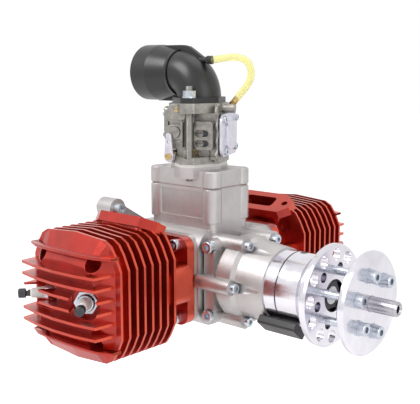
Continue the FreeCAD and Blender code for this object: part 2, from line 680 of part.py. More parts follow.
def make_nut(label, across_flats, length, hole):
    body = new_body(label)
    pad(body, hexagon_sketch(body, "YZ_Plane", across_flats), length)
    pocket(body, circle_sketch(body, "YZ_Plane", [(0, 0, hole)]), length, reverse=True)
    return body


def make_prop_end():
    cap = turned("nose_ring", [
        ("ring_station", "journal_radius+6"), ("ring_station", "ring_radius"),
        ("ring_station+ring_length", "ring_radius"), ("ring_station+ring_length", "journal_radius+0.5"),
        ("ring_station+ring_length-2", "journal_radius+0.5"), ("ring_station+ring_length-2", "journal_radius+6")])
    keep(cap)
    keep(ring("shaft_seal", "ring_station+1", "ring_station+7", "journal_radius+running_gap",
              "journal_radius+6"))
    make_hub()
    nut = keep(make_nut("crank_nut", 18, 7, 6.01))
    place(nut, x="drive_face-9")
    disc = turned("washer_disc", [
        ("disc_face-disc_thickness", "stud_seat_radius+0.02"), ("disc_face-disc_thickness", "disc_radius-1"),
        ("disc_face-disc_thickness+1", "disc_radius"), ("disc_face-1.4", "disc_radius"),
        ("disc_face", "disc_radius-1.4"), ("disc_face", "stud_seat_radius+0.02")])
    hole = pocket(disc, circle_sketch(disc, "YZ_Plane", [
        ("prop_bolt_circle*cos(40.8)", "prop_bolt_circle*sin(40.8)", "prop_bolt_radius+running_gap")],
        "disc_face"), "disc_thickness")
    around(disc, [hole], "X_Axis", 6)
    keep(disc)
    stud = turned("spinner_stud", [
        ("disc_face-disc_thickness-5", 0), ("disc_face-disc_thickness-5", 8.5),
        ("disc_face-disc_thickness", 8.5), ("disc_face-disc_thickness", "stud_seat_radius"),
        ("disc_face", "stud_seat_radius"), ("disc_face", "spinner_stud_radius"),
        ("shaft_end-1", "spinner_stud_radius"), ("shaft_end", "spinner_stud_radius-1"), ("shaft_end", 3.4),
        ("shaft_end-1.2", 2.5), ("shaft_end-14", 2.5), ("shaft_end-14", 0)])
    keep(stud)
    bolt = socket_screw("prop_bolt", "prop_bolt_radius", "disc_face-drive_face+1+9", 4.25, 5)
    spots = [{"x": "disc_face+1", "y": "prop_bolt_circle*cos(%g)" % turn, "z": "prop_bolt_circle*sin(%g)" % turn}
             for turn in (40.8 + 60 * k for k in range(6))]
    washer = ring("prop_washer", -1, 0, "prop_bolt_radius+running_gap", 5)
    keep(group("prop_bolts", [copies("prop_screws", bolt, spots), copies("prop_washers", washer, spots)]))


# ---------------------------------------------------------------- cylinders

def fin_outline(half_width, half_height):
    """Outline of one cylinder fin: near-square, with clipped corners and a slight ridge at top and bottom."""
    quarter = ((1.0, 0.516), (0.898, 0.73), (0.797, 0.878), (0.668, 0.949), (0.0, 1.0))
    points = [(sx, sz) for sx, sz in quarter]
    points += [(-sx, sz) for sx, sz in reversed(quarter[:-1])]
    points += [(-sx, -sz) for sx, sz in quarter[:-1]]
    points += [(0.0, -1.0)]
    points += [(sx, -sz) for sx, sz in reversed(quarter[:-1])]
    return [("(%s)*%g" % (half_width, x), "(%s)*%g" % (half_height, z)) for x, z in points]


def tilted_sketch(body, x, y, z, axis, turn):
    """A sketch in a plane turned about an axis of the body; its normal is where features point."""
    sketch = new_sketch(body, "XY_Plane")
    rotation = FreeCAD.Rotation(V(*axis), value_of(turn))
    sketch.AttachmentOffset = FreeCAD.Placement(V(value_of(x), value_of(y), value_of(z)), rotation)
    for name, text in (("x", x), ("y", y), ("z", z)):
        bind(sketch, "AttachmentOffset.Base." + name, text)
    bind(sketch, "AttachmentOffset.Rotation.Angle", turn)
    return sketch


BASE = "deck_height+gasket_thickness"
CROWN = "(stroke/2+rod_length+crown_height)"
SEAT_SIDE = "(plug_tip_side-28*sin(plug_tilt))"
SEAT_REACH = "(plug_tip_reach-28*cos(plug_tilt))"


def add_head(body):
    """The head: a dome with a ridge across it, level fins, two plug seats and four wells for the base screws."""
    pad(body, box_sketch(body, "XY_Plane", 0, 0, "fin_half_width-6", "fin_half_height-8", 14, "fin_reach-9"), 9)
    loft = body.newObject("PartDesign::AdditiveLoft", "head_dome")
    loft.Profile = polygon_sketch(body, "XY_Plane", fin_outline("fin_half_width-4.5", "fin_half_height"),
                                  "fin_reach-0.01")
    loft.Sections = [polygon_sketch(body, "XY_Plane", fin_outline("fin_half_width-14", "fin_half_height-18"),
                                    "dome_height")]
    loft.Ruled = True
    doc.recompute()
    half = "head_fin_half_width"
    crown = "head_fin_crown"
    root = "fin_reach-2"
    plan = [(half + "+1", root), (half + "-0.6", "head_fin_reach"),
            (half + "*0.55", "head_fin_reach+(%s-head_fin_reach)*0.7" % crown), (0, crown)]
    plan += [("-(%s)" % x, z) for x, z in reversed(plan[:-1])]
    fin = pad(body, polygon_sketch(body, "XZ_Plane", plan, "-2.5*head_fin_pitch"), "fin_thickness", both=True)
    in_line(body, [fin], "Y_Axis", "head_fin_pitch", 6)
    short = [(half + "+3", root), (half + "+3", "fin_reach+5"), ("-(%s+3)" % half, "fin_reach+5"),
             ("-(%s+3)" % half, root)]
    for side in (1, -1):
        pad(body, polygon_sketch(body, "XZ_Plane", short, "%d*(3.5*head_fin_pitch+3)" % side),
            "fin_thickness", both=True)


def cut_plug_seats(body):
    for side in (1, -1):
        spot = ("%d*%s" % (side, SEAT_SIDE), 0, SEAT_REACH, (0, 1, 0), "%d*plug_tilt" % side)
        well = tilted_sketch(body, *spot)
        draw_circle(well, 0, 0, 10.5)
        pocket(body, well, 40, reverse=True)
        thread = tilted_sketch(body, *spot)
        draw_circle(thread, 0, 0, "5+running_gap")
        pocket(body, thread, 13)


def add_exhaust(body):
    """The exhaust flange on its stub, tilted towards the crankcase."""
    spot = (0, "exhaust_rise", "exhaust_reach", (1, 0, 0), "-90-exhaust_tilt")
    flange = tilted_sketch(body, *spot)
    draw_polygon(flange, [(-20, -11), (20, -11), (30.5, -4), (31, 4), (24, 11), (-24, 11), (-31, 4),
                          (-30.5, -4)])
    pad(body, flange, 7, reverse=True)
    stub = tilted_sketch(body, *spot)
    draw_rounded_box(stub, 0, 0, 20, 8.5, 4)
    pad(body, stub, 26, reverse=True)


def cut_exhaust(body):
    spot = (0, "exhaust_rise", "exhaust_reach", (1, 0, 0), "-90-exhaust_tilt")
    port = tilted_sketch(body, *spot)
    draw_rounded_box(port, 0, 0, 14.5, 5.5, 3)
    pocket(body, port, "exhaust_rise")
    holes = tilted_sketch(body, *spot)
    draw_circle(holes, "exhaust_screw_side", 0, 2.5)
    draw_circle(holes, "-exhaust_screw_side", 0, 2.5)
    pocket(body, holes, 8)


def screw_corners():
    return [("%d*base_screw_side" % sx, "%d*base_screw_rise" % sy) for sx, sy in CORNERS]


def make_cylinder():
    body = new_body("near_cylinder")
    flange_top = BASE + "+flange_thickness"
    pad(body, box_sketch(body, "XY_Plane", 0, 0, "flange_half_width", "flange_half_height", 8, BASE),
        "flange_thickness")
    pad(body, box_sketch(body, "XY_Plane", 0, 0, "flange_half_width+4.5", 13.5, 6, flange_top + "-0.5"), 24)
    pad(body, circle_sketch(body, "XY_Plane", [(0, 0, "barrel_radius")], BASE), "fin_reach-4-(%s)" % BASE)
    fin = pad(body, polygon_sketch(body, "XY_Plane", fin_outline("fin_half_width", "fin_half_height"),
                                   "fin_reach-fin_thickness"), "fin_thickness")
    in_line(body, [fin], "Z_Axis", "fin_pitch", 8)
    add_exhaust(body)
    add_head(body)
    # bore, combustion chamber and transfer passages
    pocket(body, circle_sketch(body, "XY_Plane", [(0, 0, "bore/2")], CROWN + "+0.6"),
           CROWN + "+0.6-(%s)" % BASE)
    roof = polygon_sketch(body, "XZ_Plane", [(0, CROWN + "+0.5"), ("bore/2-3", CROWN + "+0.5"),
                                             ("bore/2-8", CROWN + "+5"), ("bore/2-14", CROWN + "+7"),
                                             (0, CROWN + "+7")])
    dome = body.newObject("PartDesign::Groove", "combustion_chamber")
    dome.Profile = roof
    dome.ReferenceAxis = (roof, ["V_Axis"])
    dome.Angle = 360
    doc.recompute()
    cut_exhaust(body)
    for side in (1, -1):
        pocket(body, box_sketch(body, "XY_Plane", "%d*(bore/2+2.5)" % side, 0, 6, 7, 2, BASE + "+28"), 28)
    # screw holes through the base flange, and wells through fins and head to reach them
    pocket(body, circle_sketch(body, "XY_Plane", [(x, y, "2.5+running_gap") for x, y in screw_corners()],
                               flange_top), "flange_thickness")
    pocket(body, circle_sketch(body, "XY_Plane", [(x, y, 5.2) for x, y in screw_corners()],
                               "head_fin_crown+5"), "head_fin_crown+5-(%s)" % flange_top)
    cut_plug_seats(body)
    return keep(to_cylinder(body))


def make_cylinders():
    cylinder = make_cylinder()
    gasket = new_body("near_base_gasket")
    pad(gasket, box_sketch(gasket, "XY_Plane", 0, 0, "flange_half_width", "flange_half_height", 8,
                           "deck_height"), "gasket_thickness")
    pocket(gasket, circle_sketch(gasket, "XY_Plane", [(0, 0, "bore/2+0.5")] +
                                 [(x, y, 2.6) for x, y in screw_corners()], BASE), "gasket_thickness")
    to_cylinder(gasket)
    far_copy("far_cylinder", cylinder)
    keep(group("base_gaskets", [gasket, copies("far_base_gasket", gasket, [HALF_TURN])]))
    screw = socket_screw("base_screw", 2.5, "flange_thickness+gasket_thickness+8", 4.25, 5)
    near = [{"x": "%s+%s" % (NEAR_AXIS, x), "y": "-(%s+flange_thickness)" % BASE, "z": z, "turn": -90}
            for x, z in screw_corners()]
    far = [{"x": "%s+%s" % (FAR_AXIS, x), "y": "%s+flange_thickness" % BASE, "z": z, "turn": 90}
           for x, z in screw_corners()]
    keep(copies("cylinder_screws", screw, near + far))


def make_spark_plugs():
    shell = turned("plug_shell", [(-9.5, 2.4), (-9.5, 5), (0, 5), (0, 6.8), (1.8, 6.8), (1.8, 6.4), (3, 6.4),
                                  (3, 7.9), (8.5, 7.9), (8.5, 6), (10.5, 5.2), (10.5, 4.3), (3, 4.3), (3, 2.4)])
    flats = new_sketch(shell, "YZ_Plane", 8.5)
    draw_circle(flats, 0, 0, 12)
    draw_hexagon(flats, 14)
    pocket(shell, flats, 5.5)
    insulator = turned("plug_insulator", [(-10, 1), (-10, 2.1), (3.1, 2.3), (3.1, 4.2), (10.5, 4.2),
                                          (11.5, 3.9), (19, 3.2), (20, 2.4), (20, 1)])
    core = turned("plug_core", [(-11.2, 0), (-11.2, 0.9), (20, 0.9), (20, 2.2), (21.5, 2.2), (21.5, 1.5),
                                (22.5, 1.5), (23.2, 3.2), (27.4, 3.2), (28, 2.4), (28, 0)])
    near = []
    for side in (1, -1):
        near.append({"x": "%s+%d*%s" % (NEAR_AXIS, side, SEAT_SIDE), "y": "-" + SEAT_REACH,
                     "turn": "-90+%d*plug_tilt" % side})
    far = []
    for side in (1, -1):
        far.append({"x": "%s+%d*%s" % (FAR_AXIS, side, SEAT_SIDE), "y": SEAT_REACH,
                    "turn": "90-%d*plug_tilt" % side})
    for label, master in (("spark_plug_shells", shell), ("spark_plug_insulators", insulator),
                          ("spark_plug_cores", core)):
        keep(copies(label, master, near + far))


# ---------------------------------------------------------------- intake

def at_intake(thing, z=0, turn=0):
    return place(thing, x="intake_station", z=z, turn=turn)


def block(label, low, high, half_x="block_half_length", half_y="block_half_width"):
    body = new_body(label)
    pad(body, box_sketch(body, "XY_Plane", 0, 0, half_x, half_y, "block_corner", low), "(%s)-(%s)" % (high, low))
    return body


def make_reed_housing():
    housing = block("reed_housing", "case_top", "reed_top")
    pocket(housing, box_sketch(housing, "XY_Plane", 0, 0, "block_half_length-7", "block_half_width-5.5", 2,
                               "reed_top"), "reed_top-case_top")
    rise = "(case_top+reed_top)/2"
    for side in (1, -1):
        pocket(housing, box_sketch(housing, "XZ_Plane", 0, rise, "block_half_length-6",
                                   "(reed_top-case_top)/2-2.5", 2, "%d*block_half_width" % side), 1.2,
               reverse=side < 0)
    at_intake(keep(housing))
    # reed cage: a wedge-shaped frame hanging under a rim, with two windows each side
    cage = new_body("reed_cage")
    pad(cage, box_sketch(cage, "XY_Plane", 0, 0, "block_half_length-7.3", "block_half_width-5.8", 1.5,
                         "reed_top-4"), 4)
    wedge = [(-12, "reed_top-4"), (12, "reed_top-4"), (1.5, "reed_top-25"), (-1.5, "reed_top-25")]
    pad(cage, polygon_sketch(cage, "YZ_Plane", wedge), "2*(block_half_length-10)", both=True)
    inner = [(-9.8, "reed_top"), (9.8, "reed_top"), (9.8, "reed_top-4"), (0, "reed_top-23")]
    inner.append((-9.8, "reed_top-4"))
    pocket(cage, polygon_sketch(cage, "YZ_Plane", inner), "2*(block_half_length-13)", both=True)
    windows = box_sketch(cage, "XZ_Plane", "(block_half_length-12)/2", "reed_top-13", 7.5, 6, 1)
    draw_rounded_box(windows, "-(block_half_length-12)/2", "reed_top-13", 7.5, 6, 1)
    pocket(cage, windows, 40, both=True)
    at_intake(keep(cage))
    petals = []
    for side in (1, -1):
        petal = new_body("reed_petal_%d" % (1 if side > 0 else 2))
        strip = [(side * 12.15, "reed_top-4.3"), (side * 12.45, "reed_top-4.3"), (side * 1.95, "reed_top-25"),
                 (side * 1.65, "reed_top-25")]
        pad(petal, polygon_sketch(petal, "YZ_Plane", strip), "2*(block_half_length-11)", both=True)
        slot = box_sketch(petal, "XZ_Plane", 0, "reed_top-20", 0.6, 8, 0.5)
        pocket(petal, slot, 40, both=True)
        petals.append(at_intake(petal))
    keep(group("reed_petals", petals))


def diamond(side):
    """Outline of a two-stud flange: ears on the Y axis, corners cut."""
    ear = "stud_side+5.5"
    return [("4.5", "-(%s)" % ear), (side, -9), (side, 9), ("4.5", ear), ("-4.5", ear),
            ("-(%s)" % side, 9), ("-(%s)" % side, -9), ("-4.5", "-(%s)" % ear)]


def stud_holes(body, top, depth):
    holes = tilted_sketch(body, 0, 0, top, (0, 0, 1), "carb_turn")
    for side in (1, -1):
        draw_circle(holes, 0, "%d*stud_side" % side, "stud_radius+running_gap")
    pocket(body, holes, depth)


def flange_plate(label, low, high, hole, side=19):
    """A two-stud flange turned with the carburettor, with its throat and stud holes."""
    body = new_body(label)
    outline = tilted_sketch(body, 0, 0, low, (0, 0, 1), "carb_turn")
    draw_polygon(outline, diamond(side))
    pad(body, outline, "(%s)-(%s)" % (high, low))
    round_edges(body, 4, along((0, 0, 1)))
    pocket(body, circle_sketch(body, "XY_Plane", [(0, 0, hole)], high), "(%s)-(%s)" % (high, low))
    stud_holes(body, high, "(%s)-(%s)" % (high, low))
    return body


def make_adapter():
    gasket = block("reed_gasket", "reed_top", "reed_top+0.8", "block_half_length+0.3", "block_half_width+0.3")
    pocket(gasket, box_sketch(gasket, "XY_Plane", 0, 0, "block_half_length-13", "block_half_width-10.5", 2,
                              "reed_top+0.8"), 0.8)
    at_intake(keep(gasket))
    adapter = block("carburettor_adapter", "reed_top+0.8", "adapter_top")
    ears = tilted_sketch(adapter, 0, 0, "adapter_top-6", (0, 0, 1), "carb_turn")
    draw_polygon(ears, diamond(19))
    pad(adapter, ears, "carb_base-2-adapter_top+6")
    pocket(adapter, circle_sketch(adapter, "XY_Plane", [(0, 0, "carb_bore")], "carb_base-2"),
           "carb_base-reed_top-2.8")
    stud_holes(adapter, "carb_base-2", 10)
    at_intake(keep(adapter))
    at_intake(keep(flange_plate("carburettor_insulator", "carb_base-2", "carb_base", "carb_bore")))


# ---------------------------------------------------------------- carburettor

TOP = "carb_base+carb_height"
METERING_SCREWS = ((9.4, 31.3), (-20.6, 31.3), (-18.6, 10), (6.9, 8.2))
PUMP_SCREWS = ((8, 35.5), (-8, 35.5), (8, 20.5), (-8, 20.5))


def at_carb(thing, u=0, v=0, z=0):
    """Place a piece built in the carburettor's frame: u is local X, v is local -Y."""
    return place(thing, x="intake_station+(%s)*cos(carb_turn)+(%s)*sin(carb_turn)" % (u, v),
                 y="(%s)*sin(carb_turn)-(%s)*cos(carb_turn)" % (u, v), z=z, turn="carb_turn")


def make_carburettor():
    body = new_body("carburettor_body")
    pad(body, polygon_sketch(body, "XY_Plane", diamond(19), "carb_base"), 5)
    pad(body, polygon_sketch(body, "XY_Plane", diamond(19), TOP + "-7"), 7)
    round_edges(body, 4, along((0, 0, 1)))
    pad(body, box_sketch(body, "XY_Plane", 0, 0, 19.5, 13, 3, "carb_base+0.5"), "carb_height-1")
    # needle pad and the round boss in front
    pad(body, box_sketch(body, "XZ_Plane", 9.3, "carb_base+20", 7.2, 10.5, 2, 15.5), 6, reverse=True)
    pad(body, circle_sketch(body, "XZ_Plane", [(-13.5, "carb_base+22", 4)], 16), 6, reverse=True)
    pad(body, box_sketch(body, "XZ_Plane", -9, "carb_base+35", 10, 6, 3, 15.5), 6, reverse=True)
    pocket(body, circle_sketch(body, "XY_Plane", [
        (0, 0, "carb_bore"), (0, "stud_side", "stud_radius+running_gap"),
        (0, "-stud_side", "stud_radius+running_gap")], TOP), "carb_height")
    pad(body, circle_sketch(body, "YZ_Plane", [(-5, TOP + "-3.9", 3.3)], 17), 11.5)
    # upright slot between the bosses, shaft bores and the corner where the throttle spring sits
    pocket(body, box_sketch(body, "XZ_Plane", -4.5, "carb_base+20", 1.6, 11, 1, 16), 5)
    pocket(body, circle_sketch(body, "XZ_Plane", [(0, "carb_base+throttle_rise", "3+running_gap"),
                                                  (0, "carb_base+choke_rise", "3+running_gap")]), 60, both=True)
    pocket(body, box_sketch(body, "XY_Plane", -17, -9.5, 4.6, 6.5, 1, "carb_base+10"), 11)
    pocket(body, circle_sketch(body, "XZ_Plane", [(-17.2, "carb_base+4.5", "1.6+running_gap")]), 9, both=True)
    for rise in (14.7, 21.8):
        pocket(body, circle_sketch(body, "XZ_Plane", [(5.8, "carb_base+%g" % rise, "2.2+running_gap")], 15.5), 9)
    at_carb(keep(body))
    # a stamped cover on the metering side and a thicker one on the pump side
    seal = new_body("metering_gasket")
    pad(seal, box_sketch(seal, "YZ_Plane", 3.5, "carb_base+20", 18.5, 14.7, 6, 19.5), 1)
    cover = new_body("metering_cover")
    pad(cover, box_sketch(cover, "YZ_Plane", 3.5, "carb_base+20", 19.5, 15.2, 6, 20.5), 1.5)
    pad(cover, box_sketch(cover, "YZ_Plane", 4.5, "carb_base+19.5", 10.5, 10, 5, 22), 1.8)
    round_edges(cover, 0.8, lambda edge: edge.BoundBox.XMin > 23.5)
    pump = new_body("pump_cover")
    pad(pump, box_sketch(pump, "YZ_Plane", 0, "carb_base+28", 12.5, 12, 3, -23), 3.5)
    round_edges(pump, 1, lambda edge: edge.BoundBox.XMax < -22.9)
    for piece, face, screws in ((seal, 20.5, METERING_SCREWS), (cover, 22, METERING_SCREWS),
                                (pump, -23, PUMP_SCREWS)):
        holes = circle_sketch(piece, "YZ_Plane", [(-v, "carb_base+%g" % rise, 1.45) for v, rise in screws], face)
        pocket(piece, holes, 2.5, reverse=face < 0)
        at_carb(keep(piece))
    head = socket_screw("cover_screw", 1.4, 1.9, 2.6, 1.6)
    spots = [(22, v, rise, 0) for v, rise in METERING_SCREWS]
    spots += [(-23, v, rise, 180) for v, rise in PUMP_SCREWS]
    keep(copies("cover_screws", head, [
        {"x": "intake_station+%g*cos(carb_turn)+%g*sin(carb_turn)" % (u, v),
         "y": "%g*sin(carb_turn)-%g*cos(carb_turn)" % (u, v),
         "z": "carb_base+%g" % rise, "turn": "carb_turn+%d" % half} for u, v, rise, half in spots]))


def make_valves():
    """Throttle and choke: a slotted shaft across the throat with a round plate in it."""
    for name, height in (("throttle", "carb_base+throttle_rise"), ("choke", "carb_base+choke_rise")):
        shaft = new_body(name + "_shaft")
        pad(shaft, circle_sketch(shaft, "XZ_Plane", [(0, 0, 3)], 14.5), 30, reverse=True)
        pocket(shaft, box_sketch(shaft, "YZ_Plane", 0, 0, "carb_bore+0.8", 0.5, 0.45), 12, both=True)
        plate = new_body(name + "_plate")
        pad(plate, circle_sketch(plate, "XY_Plane", [(0, 0, "carb_bore-0.35")]), 0.98, both=True)
        at_carb(keep(shaft), z=height)
        at_carb(keep(plate), z=height)
    lever = new_body("choke_lever")
    pad(lever, circle_sketch(lever, "XZ_Plane", [(0, 0, 4.5)], -14.9), 1.6)
    pad(lever, polygon_sketch(lever, "XZ_Plane", [(-3, 1), (2, -4), (17, -2.5), (17, 2.5), (2, 4)], -14.9), 1.6)
    pocket(lever, circle_sketch(lever, "XZ_Plane", [(0, 0, 3.01), (14, 0, 1)], -13.3), 1.6)
    at_carb(keep(lever), z="carb_base+choke_rise")


def make_throttle_lever():
    """The lever in front of the pump side, on its own pin, with the return spring behind it."""
    pivot = {"u": -17.2, "z": "carb_base+4.5"}
    lever = new_body("throttle_lever")
    pad(lever, circle_sketch(lever, "XZ_Plane", [(0, 0, 3.6)], 16.8), 1.6)
    pad(lever, polygon_sketch(lever, "XZ_Plane", [(-3.5, 0.5), (3.5, 0.5), (2, 15), (-2, 15)], 16.8), 1.6)
    pad(lever, circle_sketch(lever, "XZ_Plane", [(0, 15, 2)], 16.8), 1.6)
    pocket(lever, circle_sketch(lever, "XZ_Plane", [(0, 0, "1.6+running_gap"), (0, 10.5, 0.8)], 18.4), 1.6)
    pin = new_body("throttle_pivot")
    pad(pin, circle_sketch(pin, "XZ_Plane", [(0, 0, 1.6)], 19), 22.5, reverse=True)
    pad(pin, circle_sketch(pin, "XZ_Plane", [(0, 0, 2.4)], 18.5), 1)
    spring = new_body("throttle_coil")
    pad(spring, circle_sketch(spring, "XZ_Plane", [(0, 0, 3.9)], 4.2), 12.3)
    pocket(spring, circle_sketch(spring, "XZ_Plane", [(0, 0, 1.7)], 17), 14)
    washer = new_body("throttle_washer")
    pad(washer, circle_sketch(washer, "XZ_Plane", [(0, 0, 4.4)], 3.05), 1.1)
    pocket(washer, circle_sketch(washer, "XZ_Plane", [(0, 0, 1.7)], 4.15), 1.1)
    for piece in (lever, pin, spring, washer):
        at_carb(piece, **pivot)
    keep(lever)
    keep(pin)
    keep(group("throttle_spring", [spring, washer]))


def make_needles():
    for name, rise in (("idle_needle", 14.7), ("main_needle", 21.8)):
        needle = new_body(name)
        pad(needle, circle_sketch(needle, "XZ_Plane", [(0, 0, 2.2)], "needle_tip"), "needle_seat-needle_tip")
        pad(needle, circle_sketch(needle, "XZ_Plane", [(0, 0, 3.2)], "needle_seat-0.1"), 2)
        pocket(needle, box_sketch(needle, "XZ_Plane", 0, 0, 4, 0.5, 0.45, 17.6), 1)
        at_carb(keep(needle), u=5.8, z="carb_base+%g" % rise)


def make_studs():
    """Two studs with washers and nuts that clamp elbow, carburettor and insulator to the adapter."""
    seat = TOP + "+elbow_flange"
    stud = ring("carb_stud", "carb_base-12", TOP + "+12", 0, "stud_radius")
    washer = ring("carb_washer", seat, seat + "+1", "stud_radius+0.02", 5)
    nut = ring("carb_nut", seat + "+1", seat + "+5", "stud_radius+0.02", 6)
    flats = new_sketch(nut, "YZ_Plane", seat + "+5")
    draw_circle(flats, 0, 0, 8)
    draw_hexagon(flats, 8)
    pocket(nut, flats, 4)
    spots = [{"x": "intake_station-%d*stud_side*sin(carb_turn)" % side, "y": "%d*stud_side*cos(carb_turn)" % side,
              "axis": (0, 1, 0), "turn": -90} for side in (1, -1)]
    keep(copies("carburettor_studs", stud, spots))
    keep(group("stud_nuts", [copies("stud_hexagons", nut, spots), copies("stud_washers", washer, spots)]))


def make_elbow():
    """Flanged elbow that turns from the carburettor to the intake horn, with a web on its outside."""
    low = TOP
    high = TOP + "+elbow_flange"
    body = new_body("intake_elbow")
    outline = tilted_sketch(body, 0, 0, low, (0, 0, 1), "carb_turn")
    draw_polygon(outline, diamond(17.5))
    pad(body, outline, "elbow_flange")
    round_edges(body, 4, along((0, 0, 1)))
    pad(body, circle_sketch(body, "XY_Plane", [(0, 0, "elbow_radius")], low), "horn_rise-elbow_bend-(%s)" % low)
    rear_rise = "horn_rise-(%s)" % TOP
    pad(body, polygon_sketch(body, "XZ_Plane", [
        ("-elbow_bend", TOP + "+40.9"), (-13.9, TOP + "+40.8"), (-8.9, TOP + "+39.8"), (-4, TOP + "+37.1"), (3.8, TOP + "+32.5"),
        (3.8, TOP + "+27.5"), (0, TOP + "+16"), ("-elbow_bend", TOP + "+24")]), 3, both=True)
    pad(body, circle_sketch(body, "YZ_Plane", [(0, TOP + "+30", 2.3)], 1), 12)
    bend(body, "elbow_radius", False)
    pad(body, circle_sketch(body, "YZ_Plane", [(0, "horn_rise", "elbow_radius")], "-elbow_bend-4.6"), 4.6)
    pocket(body, circle_sketch(body, "XY_Plane", [(0, 0, "elbow_radius-duct_wall")], "horn_rise-elbow_bend"),
           rear_rise)
    bend(body, "elbow_radius-duct_wall", True)
    pocket(body, circle_sketch(body, "YZ_Plane", [(0, "horn_rise", "elbow_radius-duct_wall")],
                               "-elbow_bend"), 5)
    stud_holes(body, high, "elbow_flange")
    at_intake(keep(body))


def bend(body, radius, cut):
    """A quarter turn from upright to level, about an axis beside the duct."""
    section = tilted_sketch(body, "-elbow_bend", 0, "horn_rise-elbow_bend", (0, 0, 1), 0)
    draw_circle(section, "elbow_bend", 0, radius)
    feature = body.newObject("PartDesign::Groove" if cut else "PartDesign::Revolution", body.Name + "_bend")
    feature.Profile = section
    feature.ReferenceAxis = (section, ["V_Axis"])
    feature.Angle = 90
    feature.Reversed = True
    doc.recompute()
    return feature


def make_horn():
    """The plastic horn on the elbow, open to the rear, with a web over and under it."""
    collar = "-elbow_bend-0.1"
    step = "-elbow_bend-4.7"
    body = turned("intake_horn", [
        (collar, "elbow_radius+running_gap"), (collar, "elbow_radius+collar_wall"), (-20, "elbow_radius+collar_wall"),
        (-36.5, "horn_radius"), ("-horn_mouth", "horn_radius"), ("-horn_mouth", "horn_radius-duct_wall"),
        (-36.5, "horn_radius-duct_wall"), (step, "elbow_radius-0.9"), (step, "elbow_radius+running_gap")])
    top = [(collar, "elbow_radius+0.7"), (collar, 20), (-36.5, 20), (-36.5, "horn_radius-1")]
    under = [(-20.5, "-elbow_radius-0.7"), (-20.5, -20.8), (-40, -20.8), (-40, "1-horn_radius")]
    for outline in (top, under):
        pad(body, polygon_sketch(body, "XZ_Plane", outline), 3, both=True)
    place(keep(body), x="intake_station", z="horn_rise")


# Fuel tube from the elbow's barb to the carburettor's inlet: (x from the intake axis, y, z)
TUBE_ROUTE = ((13.4, 0.0, 152.5), (23.2, 0.3, 153.9), (33.5, 1.2, 154.6), (41.5, 2.6, 152.8),
              (45.4, 3.9, 146.6), (43.6, 5.2, 139.2), (38.9, 6.4, 134.0), (33.6, 7.0, 129.6),
              (29.6, 7.4, 125.9))
TUBE_DIAMETER = 5.0


def route_wire(points):
    """Straight runs joined by tangent arcs, each arc as large as its two runs allow."""
    edges = []
    start = points[0]
    length = 0
    for before, corner, after in zip(points, points[1:], points[2:]):
        back = (before - corner).normalize()
        on = (after - corner).normalize()
        reach = 0.45 * min((before - corner).Length, (after - corner).Length)
        half_turn = (math.pi - back.getAngle(on)) / 2
        radius = reach / math.tan(half_turn)
        print("tube radius %.1f" % radius)
        enter = corner + back * reach
        leave = corner + on * reach
        towards = (back + on).normalize()
        middle = corner + towards * (radius / math.cos(half_turn) - radius)
        edges += [Part.LineSegment(start, enter).toShape(), Part.Arc(enter, middle, leave).toShape()]
        length += (enter - start).Length + 2 * radius * half_turn
        start = leave
    edges.append(Part.LineSegment(start, points[-1]).toShape())
    return Part.Wire(edges), length + (points[-1] - start).Length


def make_tube():
    points = [V(value_of("intake_station") + x, y, z) for x, y, z in TUBE_ROUTE]
    path, length = route_wire(points)
    section = Part.Wire(Part.Circle(points[0], points[1] - points[0], TUBE_DIAMETER / 2).toShape())
    tube = path.makePipeShell([section], True, False)
    ideal = math.pi * TUBE_DIAMETER ** 2 / 4 * length
    print("tube volume %.1f, section times length %.1f" % (tube.Volume, ideal))
    if abs(tube.Volume / ideal - 1) > 0.01:
        raise RuntimeError("the fuel tube's volume is wrong")
    feature = doc.addObject("Part::Feature", "fuel_tube")
    feature.Shape = tube
    feature.Label = "fuel_tube"
    keep(feature)


def make_fuel_inlet():
    """The slanted barb in the carburettor's inlet that the tube ends on."""
    tip = V(*TUBE_ROUTE[-1])
    out = (V(*TUBE_ROUTE[-2]) - tip).normalize()
    barb = turned("fuel_inlet_barb", [(-7, 0), (-7, 2.4), (-4, 2.4), (-4, 1.8), (-2.4, 1.8), (-2.4, 2.3),
                                      (0, 1.8), (0, 0)])
    barb.Placement = FreeCAD.Placement(V(value_of("intake_station"), 0, 0) + tip,
                                       FreeCAD.Rotation(V(1, 0, 0), out))
    bind(barb, "Placement.Base.x", "intake_station+%g" % tip.x)
    keep(barb)


def make_sensor():
    """Ignition pickup beside the hub, and the magnet in the hub's rim."""
    sensor = new_body("ignition_sensor")
    pad(sensor, box_sketch(sensor, "YZ_Plane", "ring_radius+1.45+3.2", 0, 3.2, 7, 1.5, "ring_station-3.4"), 30)
    keep(place(sensor, axis=(1, 0, 0), turn=230))
    magnet = new_body("hub_magnet")
    pad(magnet, circle_sketch(magnet, "XY_Plane", [("ring_station+15.6", 0, 2.49)], "ring_radius-3"), 2.8)
    keep(magnet)


# ---------------------------------------------------------------- build, check and write

def check_and_write():
    doc.recompute()
    broken = [thing.Name for thing in doc.Objects if {"Invalid", "Error"} & set(thing.State)]
    if broken:
        raise RuntimeError("failed objects: " + ", ".join(broken))
    for node in nodes:
        if node.Shape.isNull() or not node.Shape.isValid():
            raise RuntimeError("bad shape: " + node.Label)
    os.makedirs("parts", exist_ok=True)
    for node in nodes:
        node.Shape.exportStep("parts/%s.step" % node.Label)
    print("nodes written:", len(nodes))


make_crankcase()
make_front_housing()
make_case_screws()
make_crankshaft()
make_bearings()
make_pistons_and_rods()
make_prop_end()
make_cylinders()
make_spark_plugs()
make_reed_housing()
make_adapter()
make_carburettor()
make_valves()
make_throttle_lever()
make_needles()
make_studs()
make_elbow()
make_horn()
make_tube()
make_fuel_inlet()
make_sensor()
check_and_write()
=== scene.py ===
import json
import math

